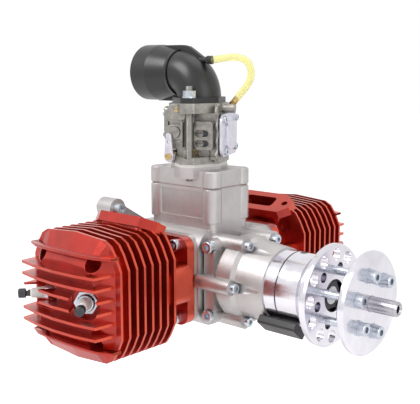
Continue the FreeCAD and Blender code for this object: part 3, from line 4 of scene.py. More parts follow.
import bmesh
import bpy
from bpy.props import FloatProperty, FloatVectorProperty, IntProperty, PointerProperty
from mathutils import Matrix, Vector


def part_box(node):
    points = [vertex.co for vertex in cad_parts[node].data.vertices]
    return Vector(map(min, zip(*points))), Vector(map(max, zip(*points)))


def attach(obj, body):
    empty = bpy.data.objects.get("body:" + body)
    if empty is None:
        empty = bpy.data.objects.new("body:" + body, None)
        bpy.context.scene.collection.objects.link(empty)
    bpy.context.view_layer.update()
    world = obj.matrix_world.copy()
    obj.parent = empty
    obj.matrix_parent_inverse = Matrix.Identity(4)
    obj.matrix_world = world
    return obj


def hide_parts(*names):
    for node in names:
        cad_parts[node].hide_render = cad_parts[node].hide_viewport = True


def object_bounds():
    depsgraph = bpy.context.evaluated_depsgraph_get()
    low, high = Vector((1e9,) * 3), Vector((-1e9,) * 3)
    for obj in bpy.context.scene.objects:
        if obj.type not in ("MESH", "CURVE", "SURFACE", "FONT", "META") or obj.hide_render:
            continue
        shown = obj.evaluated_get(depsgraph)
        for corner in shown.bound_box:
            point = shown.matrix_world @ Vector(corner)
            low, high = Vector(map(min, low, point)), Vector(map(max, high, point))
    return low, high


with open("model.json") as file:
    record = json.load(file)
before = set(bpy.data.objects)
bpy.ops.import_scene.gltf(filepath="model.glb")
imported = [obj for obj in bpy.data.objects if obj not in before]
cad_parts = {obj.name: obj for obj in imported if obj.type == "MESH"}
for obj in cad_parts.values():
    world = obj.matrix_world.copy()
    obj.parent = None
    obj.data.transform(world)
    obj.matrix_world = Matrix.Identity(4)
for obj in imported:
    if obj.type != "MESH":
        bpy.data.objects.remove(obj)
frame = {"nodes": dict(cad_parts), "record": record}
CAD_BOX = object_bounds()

bl_info = {
    "name": "Flat-twin engine dressing",
    "version": (1, 0, 0),
    "blender": (4, 5, 0),
    "location": "3D View > Sidebar > Engine",
    "description": "Finishes, small cast forms and fuel tube for a flat-twin model aircraft engine",
    "category": "Object",
}

NODES = frame["nodes"]
SLOT_OF = {part["node"]: part["material_slot"] for part in frame["record"]["subparts"]}
INTAKE_AXIS = 0.055
TUBE_ROUTE = (
    (0.0134, 0.0, 0.1525), (0.0232, 0.0003, 0.1539), (0.0335, 0.0012, 0.1546), (0.0415, 0.0026, 0.1528),
    (0.0454, 0.0039, 0.1466), (0.0436, 0.0052, 0.1392), (0.0389, 0.0064, 0.1340), (0.0336, 0.0070, 0.1296),
    (0.0296, 0.0074, 0.1259),
)


# ---------------------------------------------------------------- settings

class CastingSettings(bpy.types.PropertyGroup):
    lacquer: FloatVectorProperty(
        name="Lacquer", description="Colour of the cylinders' faces", subtype="COLOR", size=3,
        min=0, max=1, default=(0.50, 0.022, 0.010))
    # The fin edge colour is a painted highlight on the fins' outer edges and heads' outer faces.
    edge: FloatVectorProperty(
        name="Fin edge", description="Colour of the fins' outer edges", subtype="COLOR", size=3,
        min=0, max=1, default=(0.72, 0.075, 0.028))
    gloss: FloatProperty(
        name="Roughness", description="Roughness of the lacquer", min=0, max=1, default=0.3)
    case: FloatVectorProperty(
        name="Crankcase", description="Colour of the bare castings", subtype="COLOR", size=3,
        min=0, max=1, default=(0.54, 0.515, 0.51))
    grain: FloatProperty(
        name="Grain", description="Size of the castings' grain", unit="LENGTH", min=0.0001, max=0.01,
        default=0.0009)


class MetalSettings(bpy.types.PropertyGroup):
    polish: FloatProperty(
        name="Polish", description="Roughness of the turned propeller drive", min=0, max=1, default=0.13)
    plating: FloatVectorProperty(
        name="Plating", description="Colour of the plated screws", subtype="COLOR", size=3,
        min=0, max=1, default=(0.60, 0.64, 0.70))
    carburettor: FloatVectorProperty(
        name="Carburettor", description="Colour of the carburettor's castings", subtype="COLOR", size=3,
        min=0, max=1, default=(0.34, 0.325, 0.30))
    thread_pitch: FloatProperty(
        name="Thread pitch", description="Pitch of the screws' threads", unit="LENGTH", min=0.0002, max=0.003,
        default=0.0008)
    spring_turns: IntProperty(
        name="Spring turns", description="Turns of the throttle's return spring", min=2, max=20, default=8)


class PlasticSettings(bpy.types.PropertyGroup):
    black: FloatVectorProperty(
        name="Black", description="Colour of the intake's plastic", subtype="COLOR", size=3,
        min=0, max=1, default=(0.012, 0.012, 0.013))
    tube: FloatVectorProperty(
        name="Tube", description="Colour of the fuel tube", subtype="COLOR", size=3,
        min=0, max=1, default=(0.98, 0.93, 0.44))
    tube_diameter: FloatProperty(
        name="Tube diameter", description="Outside diameter of the fuel tube", unit="LENGTH",
        min=0.001, max=0.02, default=0.005)
    tube_length: FloatProperty(
        name="Tube length", description="Length of the fuel tube", unit="LENGTH",
        min=0.01, max=1.0, default=0.0615)


class StageSettings(bpy.types.PropertyGroup):
    key: FloatProperty(
        name="Key light", description="Power of the large light above and left", subtype="POWER",
        min=0, max=1000, default=6.2)
    fill: FloatProperty(
        name="Fill light", description="Power of the light on the propeller's side", subtype="POWER",
        min=0, max=1000, default=1.75)
    ambient: FloatProperty(
        name="Ambient", description="Strength of the room's light", min=0, max=5, default=0.48)
    floor_drop: FloatProperty(
        name="Floor drop", description="Floor below the engine's lowest point", unit="LENGTH",
        min=0, max=1, default=0.10)


def settings():
    return bpy.context.scene.engine_dressing


class DressingSettings(bpy.types.PropertyGroup):
    casting: PointerProperty(type=CastingSettings)
    metal: PointerProperty(type=MetalSettings)
    plastic: PointerProperty(type=PlasticSettings)
    stage: PointerProperty(type=StageSettings)


# ---------------------------------------------------------------- node helpers

class Finish:
    """A material with one shader, and short ways to add what feeds it."""

    def __init__(self, name, colour, metallic, roughness, sockets=()):
        self.material = bpy.data.materials.new(name)
        self.material.use_nodes = True
        self.tree = self.material.node_tree
        self.tree.nodes.clear()
        self.shader = self.add("ShaderNodeBsdfPrincipled")
        output = self.add("ShaderNodeOutputMaterial")
        self.link(self.shader.outputs["BSDF"], output.inputs["Surface"])
        self.shader.inputs["Base Color"].default_value = (*colour, 1)
        self.shader.inputs["Metallic"].default_value = metallic
        self.shader.inputs["Roughness"].default_value = roughness
        for socket, value in dict(sockets).items():
            self.shader.inputs[socket].default_value = value
        self.place = self.add("ShaderNodeTexCoord").outputs["Object"]

    def add(self, kind, **values):
        node = self.tree.nodes.new(kind)
        for key, value in values.items():
            setattr(node, key, value)
        return node

    def link(self, start, end):
        self.tree.links.new(start, end)

    def math(self, operation, first, second=0.0):
        node = self.add("ShaderNodeMath", operation=operation)
        for socket, value in zip(node.inputs, (first, second)):
            if isinstance(value, bpy.types.NodeSocket):
                self.link(value, socket)
            else:
                socket.default_value = value
        return node.outputs[0]

    def noise(self, size, detail=3.0, rough=0.5, stretch=None):
        """Noise whose features are about size metres across."""
        node = self.add("ShaderNodeTexNoise")
        node.inputs["Scale"].default_value = 1 / size
        node.inputs["Detail"].default_value = detail
        node.inputs["Roughness"].default_value = rough
        place = self.place
        if stretch:
            scaled = self.add("ShaderNodeVectorMath", operation="MULTIPLY")
            self.link(place, scaled.inputs[0])
            scaled.inputs[1].default_value = stretch
            place = scaled.outputs[0]
        self.link(place, node.inputs["Vector"])
        return node.outputs["Fac"]

    def wave(self, period, kind, direction, distortion=0.0):
        """Bands or rings a period apart, in metres."""
        node = self.add("ShaderNodeTexWave", wave_type=kind)
        setattr(node, "bands_direction" if kind == "BANDS" else "rings_direction", direction)
        node.inputs["Scale"].default_value = math.pi / 10 / period
        node.inputs["Distortion"].default_value = distortion
        self.link(self.place, node.inputs["Vector"])
        return node.outputs["Fac"]

    def spread(self, value, low, high, out_low, out_high):
        """value from low..high mapped to out_low..out_high, clamped."""
        node = self.add("ShaderNodeMapRange")
        self.link(value, node.inputs["Value"])
        limits = {"From Min": low, "From Max": high, "To Min": out_low, "To Max": out_high}
        for socket, number in limits.items():
            node.inputs[socket].default_value = number
        return node.outputs["Result"]

    def blend(self, amount, first, second):
        """Colour mixed from first to second."""
        node = self.add("ShaderNodeMix", data_type="RGBA")
        self.link(amount, node.inputs["Factor"])
        for name, value in (("A", first), ("B", second)):
            socket = next(s for s in node.inputs if s.name == name and s.type == "RGBA")
            if isinstance(value, bpy.types.NodeSocket):
                self.link(value, socket)
            else:
                socket.default_value = (*value, 1)
        return next(s for s in node.outputs if s.type == "RGBA")

    def colour(self, value):
        self.link(value, self.shader.inputs["Base Color"])

    def roughness(self, value):
        self.link(value, self.shader.inputs["Roughness"])

    def bump(self, height, depth, strength=1.0):
        node = self.add("ShaderNodeBump")
        node.inputs["Distance"].default_value = depth
        node.inputs["Strength"].default_value = strength
        self.link(height, node.inputs["Height"])
        for socket in self.shader.inputs["Normal"].links:
            self.link(socket.from_socket, node.inputs["Normal"])
        self.link(node.outputs["Normal"], self.shader.inputs["Normal"])


def shade(colour, factor):
    return tuple(min(1.0, part * factor) for part in colour)


def paint(names, finish):
    for name in names:
        slots = NODES[name].data.materials
        slots.clear()
        slots.append(finish.material)


def in_slots(*slots):
    return [name for name in NODES if SLOT_OF[name] in slots]


# ---------------------------------------------------------------- shapes, drawn in millimetres

def oriented(origin, first, second):
    """A frame at the origin whose first two axes are given."""
    axes = Matrix((first, second, Vector(first).cross(Vector(second)))).transposed()
    return Matrix.Translation(origin) @ axes.to_4x4() @ Matrix.Scale(0.001, 4)


CARB_TURN = math.radians(24)
CARB_ACROSS = Vector((math.cos(CARB_TURN), math.sin(CARB_TURN), 0))
CARB_FORWARD = Vector((math.sin(CARB_TURN), -math.cos(CARB_TURN), 0))
UP = Vector((0, 0, 1))
CARB_FACE = oriented((INTAKE_AXIS, 0, 0), CARB_ACROSS, UP)
CARB_FLANK = oriented((INTAKE_AXIS, 0, 0), CARB_FORWARD, UP)
LEVEL = oriented((0, 0, 0), (1, 0, 0), (0, 1, 0))


def rounded_box(x, y, half_x, half_y, radius, steps=5):
    """Outline of a box with rounded corners."""
    points = []
    for quarter, (sx, sy) in enumerate(((1, 1), (-1, 1), (-1, -1), (1, -1))):
        for k in range(steps + 1):
            angle = math.pi / 2 * (quarter + k / steps)
            points.append((x + sx * (half_x - radius) + radius * math.cos(angle),
                           y + sy * (half_y - radius) + radius * math.sin(angle)))
    return points


def circle(x, y, radius, steps=40):
    return [(x + radius * math.cos(2 * math.pi * k / steps), y + radius * math.sin(2 * math.pi * k / steps))
            for k in range(steps)]


def closed_mesh(name, form, place):
    """A mesh from a bmesh: doubled corners joined, faces turned outwards, edges sharp where they bend."""
    bmesh.ops.remove_doubles(form, verts=form.verts, dist=0.0005)
    bmesh.ops.recalc_face_normals(form, faces=form.faces)
    form.transform(place)
    for face in form.faces:
        face.smooth = True
    mesh = bpy.data.meshes.new(name)
    form.to_mesh(mesh)
    form.free()
    mesh.set_sharp_from_angle(angle=math.radians(35))
    return mesh


def cut_plate(name, outlines, low, high, place, edge=0.2):
    """A flat plate with broken edges; outlines after the first are holes in it."""
    curve = bpy.data.curves.new(name, "CURVE")
    curve.dimensions = "2D"
    curve.fill_mode = "BOTH"
    curve.extrude = (high - low) / 2 - edge
    curve.bevel_depth = edge
    curve.bevel_resolution = 1
    curve.offset = -edge
    for outline in outlines:
        spline = curve.splines.new("POLY")
        spline.points.add(len(outline) - 1)
        for point, (x, y) in zip(spline.points, outline):
            point.co = (x, y, 0, 1)
        spline.use_cyclic_u = True
    drawing = bpy.data.objects.new(name, curve)
    flat = bpy.data.meshes.new_from_object(drawing)
    form = bmesh.new()
    form.from_mesh(flat)
    bpy.data.objects.remove(drawing)
    bpy.data.curves.remove(curve)
    bpy.data.meshes.remove(flat)
    return closed_mesh(name, form, place @ Matrix.Translation((0, 0, (low + high) / 2)))


def turned(name, profile, place, steps=48):
    """A closed profile of (radius, height) points turned about the place's third axis."""
    form = bmesh.new()
    corners = [form.verts.new((radius, 0, height)) for radius, height in profile]
    edges = [form.edges.new((first, second)) for first, second in zip(corners, corners[1:] + corners[:1])]
    bmesh.ops.spin(form, geom=corners + edges, cent=(0, 0, 0), axis=(0, 0, 1), angle=2 * math.pi, steps=steps,
                   use_merge=True, use_duplicate=False)
    return closed_mesh(name, form, place)


def joined(name, meshes):
    form = bmesh.new()
    for mesh in meshes:
        form.from_mesh(mesh)
    whole = bpy.data.meshes.new(name)
    form.to_mesh(whole)
    form.free()
    for mesh in meshes:
        bpy.data.meshes.remove(mesh)
    return whole


def fit(name, mesh, body, finish):
    """Put a mesh into the scene as a piece that rides on a body."""
    piece = bpy.data.objects.new(name, mesh)
    bpy.context.scene.collection.objects.link(piece)
    mesh.materials.append(finish.material)
    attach(piece, body)


# ---------------------------------------------------------------- castings

# Where the painted highlight fades in, in metres: on the fin rims by distance from the cylinder's axis, and
# on the head's outer face by reach along the cylinder.
FIN_HIGHLIGHT_REACH = (0.031, 0.034)
HEAD_HIGHLIGHT_REACH = (0.1225, 0.1235)


def lacquered_casting(name, axis_x):
    """Red lacquer on cast fins, deep on their faces, with a painted highlight along the fins' outer edges and
    a fainter painted highlight on the heads' outer faces.
    """
    look = settings().casting
    red = Finish(name, look.lacquer, 0.75, look.gloss, {"Coat Weight": 0.6, "Coat Roughness": 0.18})
    geometry = red.add("ShaderNodeNewGeometry")
    place = red.add("ShaderNodeSeparateXYZ")
    facing = red.add("ShaderNodeSeparateXYZ")
    red.link(geometry.outputs["Position"], place.inputs[0])
    red.link(geometry.outputs["True Normal"], facing.inputs[0])
    x, y, z = place.outputs
    side = red.math("ABSOLUTE", red.math("SUBTRACT", x, axis_x))
    rise = red.math("ABSOLUTE", z)
    outer = red.spread(red.math("MAXIMUM", side, rise), *FIN_HIGHLIGHT_REACH, 0, 1)
    across = red.spread(red.math("ABSOLUTE", facing.outputs[1]), 0.3, 0.6, 1, 0)
    rim = red.math("MULTIPLY", outer, across)
    reach = red.math("ABSOLUTE", y)
    head = red.spread(reach, *HEAD_HIGHLIGHT_REACH, 0, 1)
    upright = red.spread(red.math("ABSOLUTE", facing.outputs[2]), 0.3, 0.6, 1, 0)
    # Mask of the painted highlight: full on the fin rims, 0.4 on the heads' outer faces.
    edge = red.math("MAXIMUM", rim, red.math("MULTIPLY", red.math("MULTIPLY", head, upright), 0.4))
    grain = red.noise(look.grain, 4, 0.6)
    patches = red.noise(0.012, 2)
    deep = red.blend(red.spread(patches, 0.35, 0.65, 0, 1), shade(look.lacquer, 0.8), look.lacquer)
    # The deep red, with the painted highlight colour laid over it along that mask.
    red.colour(red.blend(edge, deep, look.edge))
    red.roughness(red.spread(grain, 0.2, 0.8, look.gloss - 0.06, look.gloss + 0.12))
    red.bump(grain, 0.00012, 0.35)
    return red


def bare_casting(name):
    """Blasted aluminium casting with fine grain and faint flow marks."""
    look = settings().casting
    cast = Finish(name, look.case, 0.9, 0.42)
    grain = cast.noise(look.grain * 0.6, 5, 0.65)
    flow = cast.noise(0.02, 3, 0.6)
    cast.colour(cast.blend(cast.spread(flow, 0.3, 0.7, 0, 1), shade(look.case, 0.88), shade(look.case, 1.08)))
    cast.roughness(cast.spread(grain, 0.25, 0.75, 0.34, 0.52))
    cast.bump(grain, 0.0001, 0.4)
    cast.bump(flow, 0.0004, 0.2)
    return cast


HEAD_FIN_PLAN = ((40.5, 109.5), (40.5, 116.3), (30.0, 120.6), (17.0, 122.0), (0.0, 122.4))
HEAD_FIN_RISE = 30.475
HEAD_FIN_THICKNESS = 1.8


def head_fins(name, axis_x, facing):
    """The two wide fins over and under a head, one at each end of its row of fins."""
    half = [(axis_x * 1000 + x, facing * reach) for x, reach in HEAD_FIN_PLAN]
    other = [(axis_x * 1000 - x, facing * reach) for x, reach in reversed(HEAD_FIN_PLAN[:-1])]
    low = -HEAD_FIN_THICKNESS / 2
    return joined(name, [
        cut_plate("fin", [half + other], side * HEAD_FIN_RISE + low, side * HEAD_FIN_RISE - low, LEVEL, 0.3)
        for side in (1, -1)])


POST_RADIUS = 6.9
POST_INSET = 5.2
POST_HOLE = 2.6
BLOCK_HALF_LENGTH = 31.0
BLOCK_HALF_WIDTH = 20.0
ADAPTER_DECK = 75.6


def corner_posts(name, low, high):
    """Four rounded posts at the corners of the block under the carburettor, with screw heads sunk in them."""
    posts = []
    for side_x in (1, -1):
        for side_y in (1, -1):
            place = oriented((INTAKE_AXIS + side_x * (BLOCK_HALF_LENGTH - POST_INSET) / 1000,
                              side_y * (BLOCK_HALF_WIDTH - POST_INSET) / 1000, 0), (1, 0, 0), (0, 1, 0))
            profile = [(POST_HOLE, low), (POST_RADIUS - 0.3, low), (POST_RADIUS, low + 0.3),
                       (POST_RADIUS, high - 0.9), (POST_RADIUS - 0.9, high), (POST_HOLE, high)]
            posts.append(turned("post", profile, place))
    return joined(name, posts)


class ENGINE_OT_castings(bpy.types.Operator):
    """Finish the cylinders and the bare castings, with their widest head fins and corner posts"""
    bl_idname = "engine.castings"
    bl_label = "Castings"

    def execute(self, context):
        for node, facing in (("near_cylinder", -1), ("far_cylinder", 1)):
            low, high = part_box(node)
            axis_x = (low[0] + high[0]) / 2
            lacquer = lacquered_casting(node + "_lacquer", axis_x)
            paint([node], lacquer)
            name = node + "_wide_fins"
            fit(name, head_fins(name, axis_x, facing), "engine", lacquer)
        bare = bare_casting("blasted_aluminium")
        paint(in_slots("case_cast"), bare)
        for node in ("reed_housing", "carburettor_adapter"):
            low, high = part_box(node)
            top = ADAPTER_DECK if node == "carburettor_adapter" else high[2] * 1000
            posts = corner_posts(node + "_posts", low[2] * 1000, top)
            fit(node + "_posts", posts, "engine", bare)
        return {"FINISHED"}


# ---------------------------------------------------------------- metals

def turned_aluminium():
    """Bright aluminium turned about the crank axis, with fine tool rings."""
    look = settings().metal
    bright = Finish("turned_aluminium", (0.76, 0.74, 0.80), 1.0, look.polish, {"Anisotropic": 0.4})
    rings = bright.wave(0.00035, "RINGS", "X", 0.4)
    smear = bright.noise(0.015, 3)
    bright.roughness(bright.spread(smear, 0.3, 0.7, look.polish * 0.7, look.polish * 1.6))
    bright.colour(bright.blend(bright.spread(smear, 0.3, 0.7, 0, 1), (0.70, 0.68, 0.74), (0.82, 0.80, 0.86)))
    bright.bump(rings, 0.000006, 0.5)
    return bright


def plated_steel(name, pitch=None):
    """Zinc-plated steel; a pitch adds a thread along the crank."""
    look = settings().metal
    steel = Finish(name, look.plating, 1.0, 0.28)
    wear = steel.noise(0.0025, 4, 0.6)
    steel.colour(steel.blend(steel.spread(wear, 0.3, 0.7, 0, 1), shade(look.plating, 0.82),
                             shade(look.plating, 1.12)))
    steel.roughness(steel.spread(wear, 0.25, 0.75, 0.2, 0.38))
    if pitch:
        steel.bump(steel.wave(pitch, "BANDS", "X"), 0.00025, 0.9)
    else:
        steel.bump(steel.noise(0.0004, 2), 0.00003, 0.4)
    return steel


def ground_steel():
    steel = Finish("ground_steel", (0.52, 0.53, 0.55), 1.0, 0.24)
    marks = steel.noise(0.004, 4, 0.7, stretch=(12.0, 1.0, 1.0))
    steel.roughness(steel.spread(marks, 0.3, 0.7, 0.16, 0.36))
    steel.colour(steel.blend(steel.spread(marks, 0.3, 0.7, 0, 1), (0.46, 0.47, 0.49), (0.60, 0.61, 0.63)))
    steel.bump(marks, 0.00002, 0.3)
    return steel


def black_steel(name="blackened_steel"):
    steel = Finish(name, (0.06, 0.06, 0.065), 0.9, 0.4)
    oil = steel.noise(0.003, 3)
    steel.roughness(steel.spread(oil, 0.3, 0.7, 0.28, 0.55))
    steel.colour(steel.blend(oil, (0.035, 0.035, 0.04), (0.11, 0.11, 0.12)))
    steel.bump(steel.noise(0.0005, 3), 0.00003, 0.4)
    return steel


def carburettor_alloy():
    """Dull die-cast metal with a faint yellow passivation and dark stains scattered at random."""
    look = settings().metal
    alloy = Finish("carburettor_alloy", look.carburettor, 0.85, 0.38)
    stain = alloy.noise(0.005, 4, 0.6)
    grain = alloy.noise(0.0005, 3)
    clean = alloy.blend(alloy.spread(stain, 0.35, 0.65, 0, 1), shade(look.carburettor, 0.78),
                        shade(look.carburettor, 1.2))
    alloy.colour(clean)
    alloy.roughness(alloy.spread(grain, 0.2, 0.8, 0.28, 0.5))
    alloy.bump(grain, 0.00006, 0.5)
    return alloy


def stamped_sheet():
    """Pale zinc-plated sheet, almost even, with a faint blue cast."""
    sheet = Finish("stamped_zinc_sheet", (0.72, 0.70, 0.78), 0.7, 0.34)
    spangle = sheet.noise(0.004, 2, 0.4)
    sheet.colour(sheet.blend(sheet.spread(spangle, 0.35, 0.65, 0, 1),
                             (0.66, 0.645, 0.72), (0.80, 0.785, 0.86)))
    sheet.roughness(sheet.spread(spangle, 0.3, 0.7, 0.28, 0.42))
    sheet.bump(sheet.noise(0.0008, 3), 0.00003, 0.3)
    return sheet


def rolled_stud(name="rolled_stud"):
    """Dull steel with a fine rolled thread."""
    look = settings().metal
    stud = Finish(name, (0.30, 0.29, 0.27), 1.0, 0.38)
    wear = stud.noise(0.003, 3)
    stud.colour(stud.blend(wear, (0.20, 0.19, 0.18), (0.40, 0.385, 0.36)))
    stud.roughness(stud.spread(wear, 0.3, 0.7, 0.3, 0.48))
    stud.bump(stud.wave(look.thread_pitch, "BANDS", "Z"), 0.00018, 0.7)
    return stud


def fine_turned_steel():
    """Grey steel of the spinner stud, with fine lines round it."""
    steel = Finish("fine_turned_steel", (0.50, 0.48, 0.51), 1.0, 0.26)
    smear = steel.noise(0.005, 3)
    steel.colour(steel.blend(smear, (0.42, 0.40, 0.43), (0.60, 0.58, 0.61)))
    steel.roughness(steel.spread(smear, 0.3, 0.7, 0.2, 0.34))
    steel.bump(steel.wave(0.0004, "BANDS", "X", 0.3), 0.00002, 0.5)
    return steel


def plain_brass():
    brass = Finish("plain_brass", (0.60, 0.43, 0.18), 1.0, 0.3)
    tarnish = brass.noise(0.002, 4, 0.6)
    brass.colour(brass.blend(brass.spread(tarnish, 0.35, 0.65, 0, 1), (0.42, 0.30, 0.13), (0.72, 0.54, 0.25)))
    brass.roughness(brass.spread(tarnish, 0.3, 0.7, 0.22, 0.42))
    brass.bump(tarnish, 0.00003, 0.3)
    return brass


# A thin black ring laid in the gap between nose ring and hub: painted shade.
NOSE_SEAM_SHADE_RING = ((25.03, 144.1), (25.10, 144.15), (25.10, 145.05), (25.03, 145.1))


class ENGINE_OT_drive(bpy.types.Operator):
    """Finish the propeller drive and the moving train, and put a thin black ring of painted shade into the
    gap in front of the nose
    """
    bl_idname = "engine.drive"
    bl_label = "Propeller drive"

    def execute(self, context):
        black = black_steel()
        paint(in_slots("polished"), turned_aluminium())
        paint(in_slots("steel"), ground_steel())
        paint(in_slots("dark_steel"), black)
        paint(["spinner_stud"], fine_turned_steel())
        # A black ring of painted shade in the gap in front of the nose.
        painted_seam_shade = turned("nose_seam_shade_ring", NOSE_SEAM_SHADE_RING, oriented((0, 0, 0), (0, 1, 0), (0, 0, 1)), 96)
        fit("nose_seam_shade_ring", painted_seam_shade, "engine", black)
        return {"FINISHED"}


class ENGINE_OT_fasteners(bpy.types.Operator):
    """Finish screws, studs, nuts and stamped pieces"""
    bl_idname = "engine.fasteners"
    bl_label = "Fasteners"

    def execute(self, context):
        pitch = settings().metal.thread_pitch
        paint(in_slots("zinc"), plated_steel("plated_steel"))
        paint(["carburettor_studs"], rolled_stud())
        paint(["mounting_screws"], plated_steel("threaded_screws", pitch))
        return {"FINISHED"}


# ---------------------------------------------------------------- plastics, ceramic and rubber

def moulded_black():
    look = settings().plastic
    plastic = Finish("moulded_black_plastic", look.black, 0.0, 0.34, {"Specular IOR Level": 0.55})
    grain = plastic.noise(0.0007, 3)
    sheen = plastic.noise(0.03, 2)
    plastic.roughness(plastic.spread(sheen, 0.3, 0.7, 0.26, 0.42))
    plastic.colour(plastic.blend(sheen, shade(look.black, 0.7), shade(look.black, 1.7)))
    plastic.bump(grain, 0.00005, 0.35)
    return plastic


def plain_sheet(name, colour, roughness, grain_size, depth):
    sheet = Finish(name, colour, 0.0, roughness)
    grain = sheet.noise(grain_size, 4, 0.6)
    sheet.colour(sheet.blend(grain, shade(colour, 0.75), shade(colour, 1.2)))
    sheet.roughness(sheet.spread(grain, 0.2, 0.8, roughness - 0.08, roughness + 0.1))
    sheet.bump(grain, depth, 0.4)
    return sheet


SHEETS = (
    ("white_plastic", "insulating_plastic", (0.80, 0.79, 0.75), 0.45, 0.001, 0.00003),
    ("ceramic", "glazed_ceramic", (0.84, 0.83, 0.80), 0.18, 0.004, 0.00001),
    ("gasket", "gasket_sheet", (0.42, 0.33, 0.31), 0.7, 0.0006, 0.00005),
    ("rubber", "seal_rubber", (0.02, 0.02, 0.021), 0.6, 0.0008, 0.00004),
)
BARB_RISE = 0.1525
BARB_RING = ((2.2, 0.0), (3.0, 0.25), (3.1, 0.9), (2.9, 1.3), (2.2, 1.8))
BARB_STATIONS = (63.2, 66.1)


def barb_rings():
    """Two rounded ribs round the elbow's spigot."""
    axis = oriented((0, 0, BARB_RISE), (0, 1, 0), (0, 0, 1))
    return joined("barb_rings", [
        turned("ring", [(radius, station + height) for radius, height in BARB_RING], axis)
        for station in BARB_STATIONS])


class ENGINE_OT_plastics(bpy.types.Operator):
    """Finish the intake, insulators, gaskets and seals, and add the spigot's ribs"""
    bl_idname = "engine.plastics"
    bl_label = "Plastics and gaskets"

    def execute(self, context):
        black = moulded_black()
        paint(in_slots("black_plastic"), black)
        fit("barb_rings", barb_rings(), "engine", black)
        for slot, name, colour, roughness, grain_size, depth in SHEETS:
            paint(in_slots(slot), plain_sheet(name, colour, roughness, grain_size, depth))
        return {"FINISHED"}


def tube_plastic():
    """Soft yellow tube that lets some light through."""
    look = settings().plastic
    soft = Finish("soft_yellow_tube", look.tube, 0.0, 0.22,
                  {"Transmission Weight": 0.82, "IOR": 1.2})
    cloud = soft.noise(0.02, 2)
    soft.colour(soft.blend(cloud, shade(look.tube, 0.96), shade(look.tube, 1.04)))
    soft.roughness(soft.spread(cloud, 0.3, 0.7, 0.05, 0.09))
    soft.bump(soft.noise(0.02, 1), 0.00005, 0.2)
    return soft


class ENGINE_OT_tube(bpy.types.Operator):
    """Make the fuel tube between the elbow's barb and the carburettor's inlet"""
    bl_idname = "engine.tube"
    bl_label = "Fuel tube"

    def execute(self, context):
        look = settings().plastic
        curve = bpy.data.curves.new("fuel_hose", "CURVE")
        curve.dimensions = "3D"
        curve.bevel_depth = look.tube_diameter / 2
        curve.bevel_resolution = 8
        curve.resolution_u = 16
        spline = curve.splines.new("NURBS")
        spline.points.add(len(TUBE_ROUTE) - 1)
        for point, (x, y, z) in zip(spline.points, TUBE_ROUTE):
            point.co = (INTAKE_AXIS + x, y, z, 1)
        spline.order_u = 3
        spline.use_endpoint_u = True
        hose = bpy.data.objects.new("fuel_hose", curve)
        context.scene.collection.objects.link(hose)
        curve.materials.append(tube_plastic().material)
        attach(hose, "engine")
        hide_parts("fuel_tube")
        x, y, z = TUBE_ROUTE[0]
        return {"FINISHED"}


# ---------------------------------------------------------------- carburettor

THROTTLE_PIN = (-17.2, 84.0)
COIL_WIRE = 0.9
COIL_RADIUS = 3.35
COIL_START, COIL_END = 5.1, 14.9
SPOOL_SECTION = ((1.7, 3.05), (4.3, 3.05), (4.4, 3.2), (4.4, 4.0), (4.3, 4.15), (2.5, 4.15), (2.5, 15.3),
                 (4.2, 15.3), (4.3, 15.45), (4.3, 16.3), (4.2, 16.45), (1.7, 16.45))
NEEDLES = ((5.8, 94.2), (5.8, 101.3))
FLANGE_STEPS = 28
FLANGE_LOW = 80.6
FLANGE_HEIGHT = 40.0
FLANGE_BACK = 9.0


def face_at(across, rise):
    """The carburettor's face frame, moved to a point on it."""
    return CARB_FACE @ Matrix.Translation((across, rise, 0))


def needle_shroud():
    """A cast cap over the two needles: a rounded shell whose front has a long window for each head."""
    outer = rounded_box(8.9, 99.6, 7.4, 10.2, 2.6)
    hollow = rounded_box(8.9, 99.6, 6.5, 9.3, 1.9)
    windows = [rounded_box(across + 2.4, rise, 5.0, 2.35, 2.3) for across, rise in NEEDLES]
    rims = [cut_plate("rim", [rounded_box(across + 2.4, rise, 5.6, 2.95, 2.9), window], 19.0, 19.5,
                      CARB_FACE, 0.15)
            for (across, rise), window in zip(NEEDLES, windows)]
    return joined("needle_shroud", [
        cut_plate("wall", [outer, hollow], 15.2, 18.4, CARB_FACE, 0.15),
        cut_plate("front", [outer] + windows, 17.9, 19.1, CARB_FACE, 0.3)] + rims)


def needle_well_shade_floor():
    """A black floor of painted shade behind the shroud's windows, with a round hole for each needle's head.
    """
    holes = [circle(across, rise, 3.35) for across, rise in NEEDLES]
    return cut_plate("needle_well_shade_floor", [rounded_box(8.9, 97.75, 6.3, 8.4, 1.5)] + holes, 15.45, 16.6,
                     CARB_FACE, 0.1)


def wavy_flange():
    """The metering side's cast flange, whose front edge waves in and out round its screws."""
    front = [(17.4 - 1.6 * math.cos(math.pi * k / 7) ** 2 + 0.8 * math.cos(2 * math.pi * k / FLANGE_STEPS),
              FLANGE_LOW + FLANGE_HEIGHT * k / FLANGE_STEPS) for k in range(FLANGE_STEPS + 1)]
    outline = [(FLANGE_BACK, FLANGE_LOW)] + front + [(FLANGE_BACK, FLANGE_LOW + FLANGE_HEIGHT)]
    return cut_plate("metering_flange", [outline], -19.45, -17.6, CARB_FLANK, 0.25)


def slotted_plug(name, across, rise, front, radius):
    """A round screw plug with a screwdriver slot."""
    slot = rounded_box(0, 0, radius * 0.78, radius * 0.17, radius * 0.1)
    place = face_at(across, rise)
    return joined(name, [
        cut_plate("head", [circle(0, 0, radius), slot], front, front + 0.7, place, 0.12),
        cut_plate("floor", [circle(0, 0, radius * 0.95)], front - 0.6, front + 0.15, place, 0.1)])


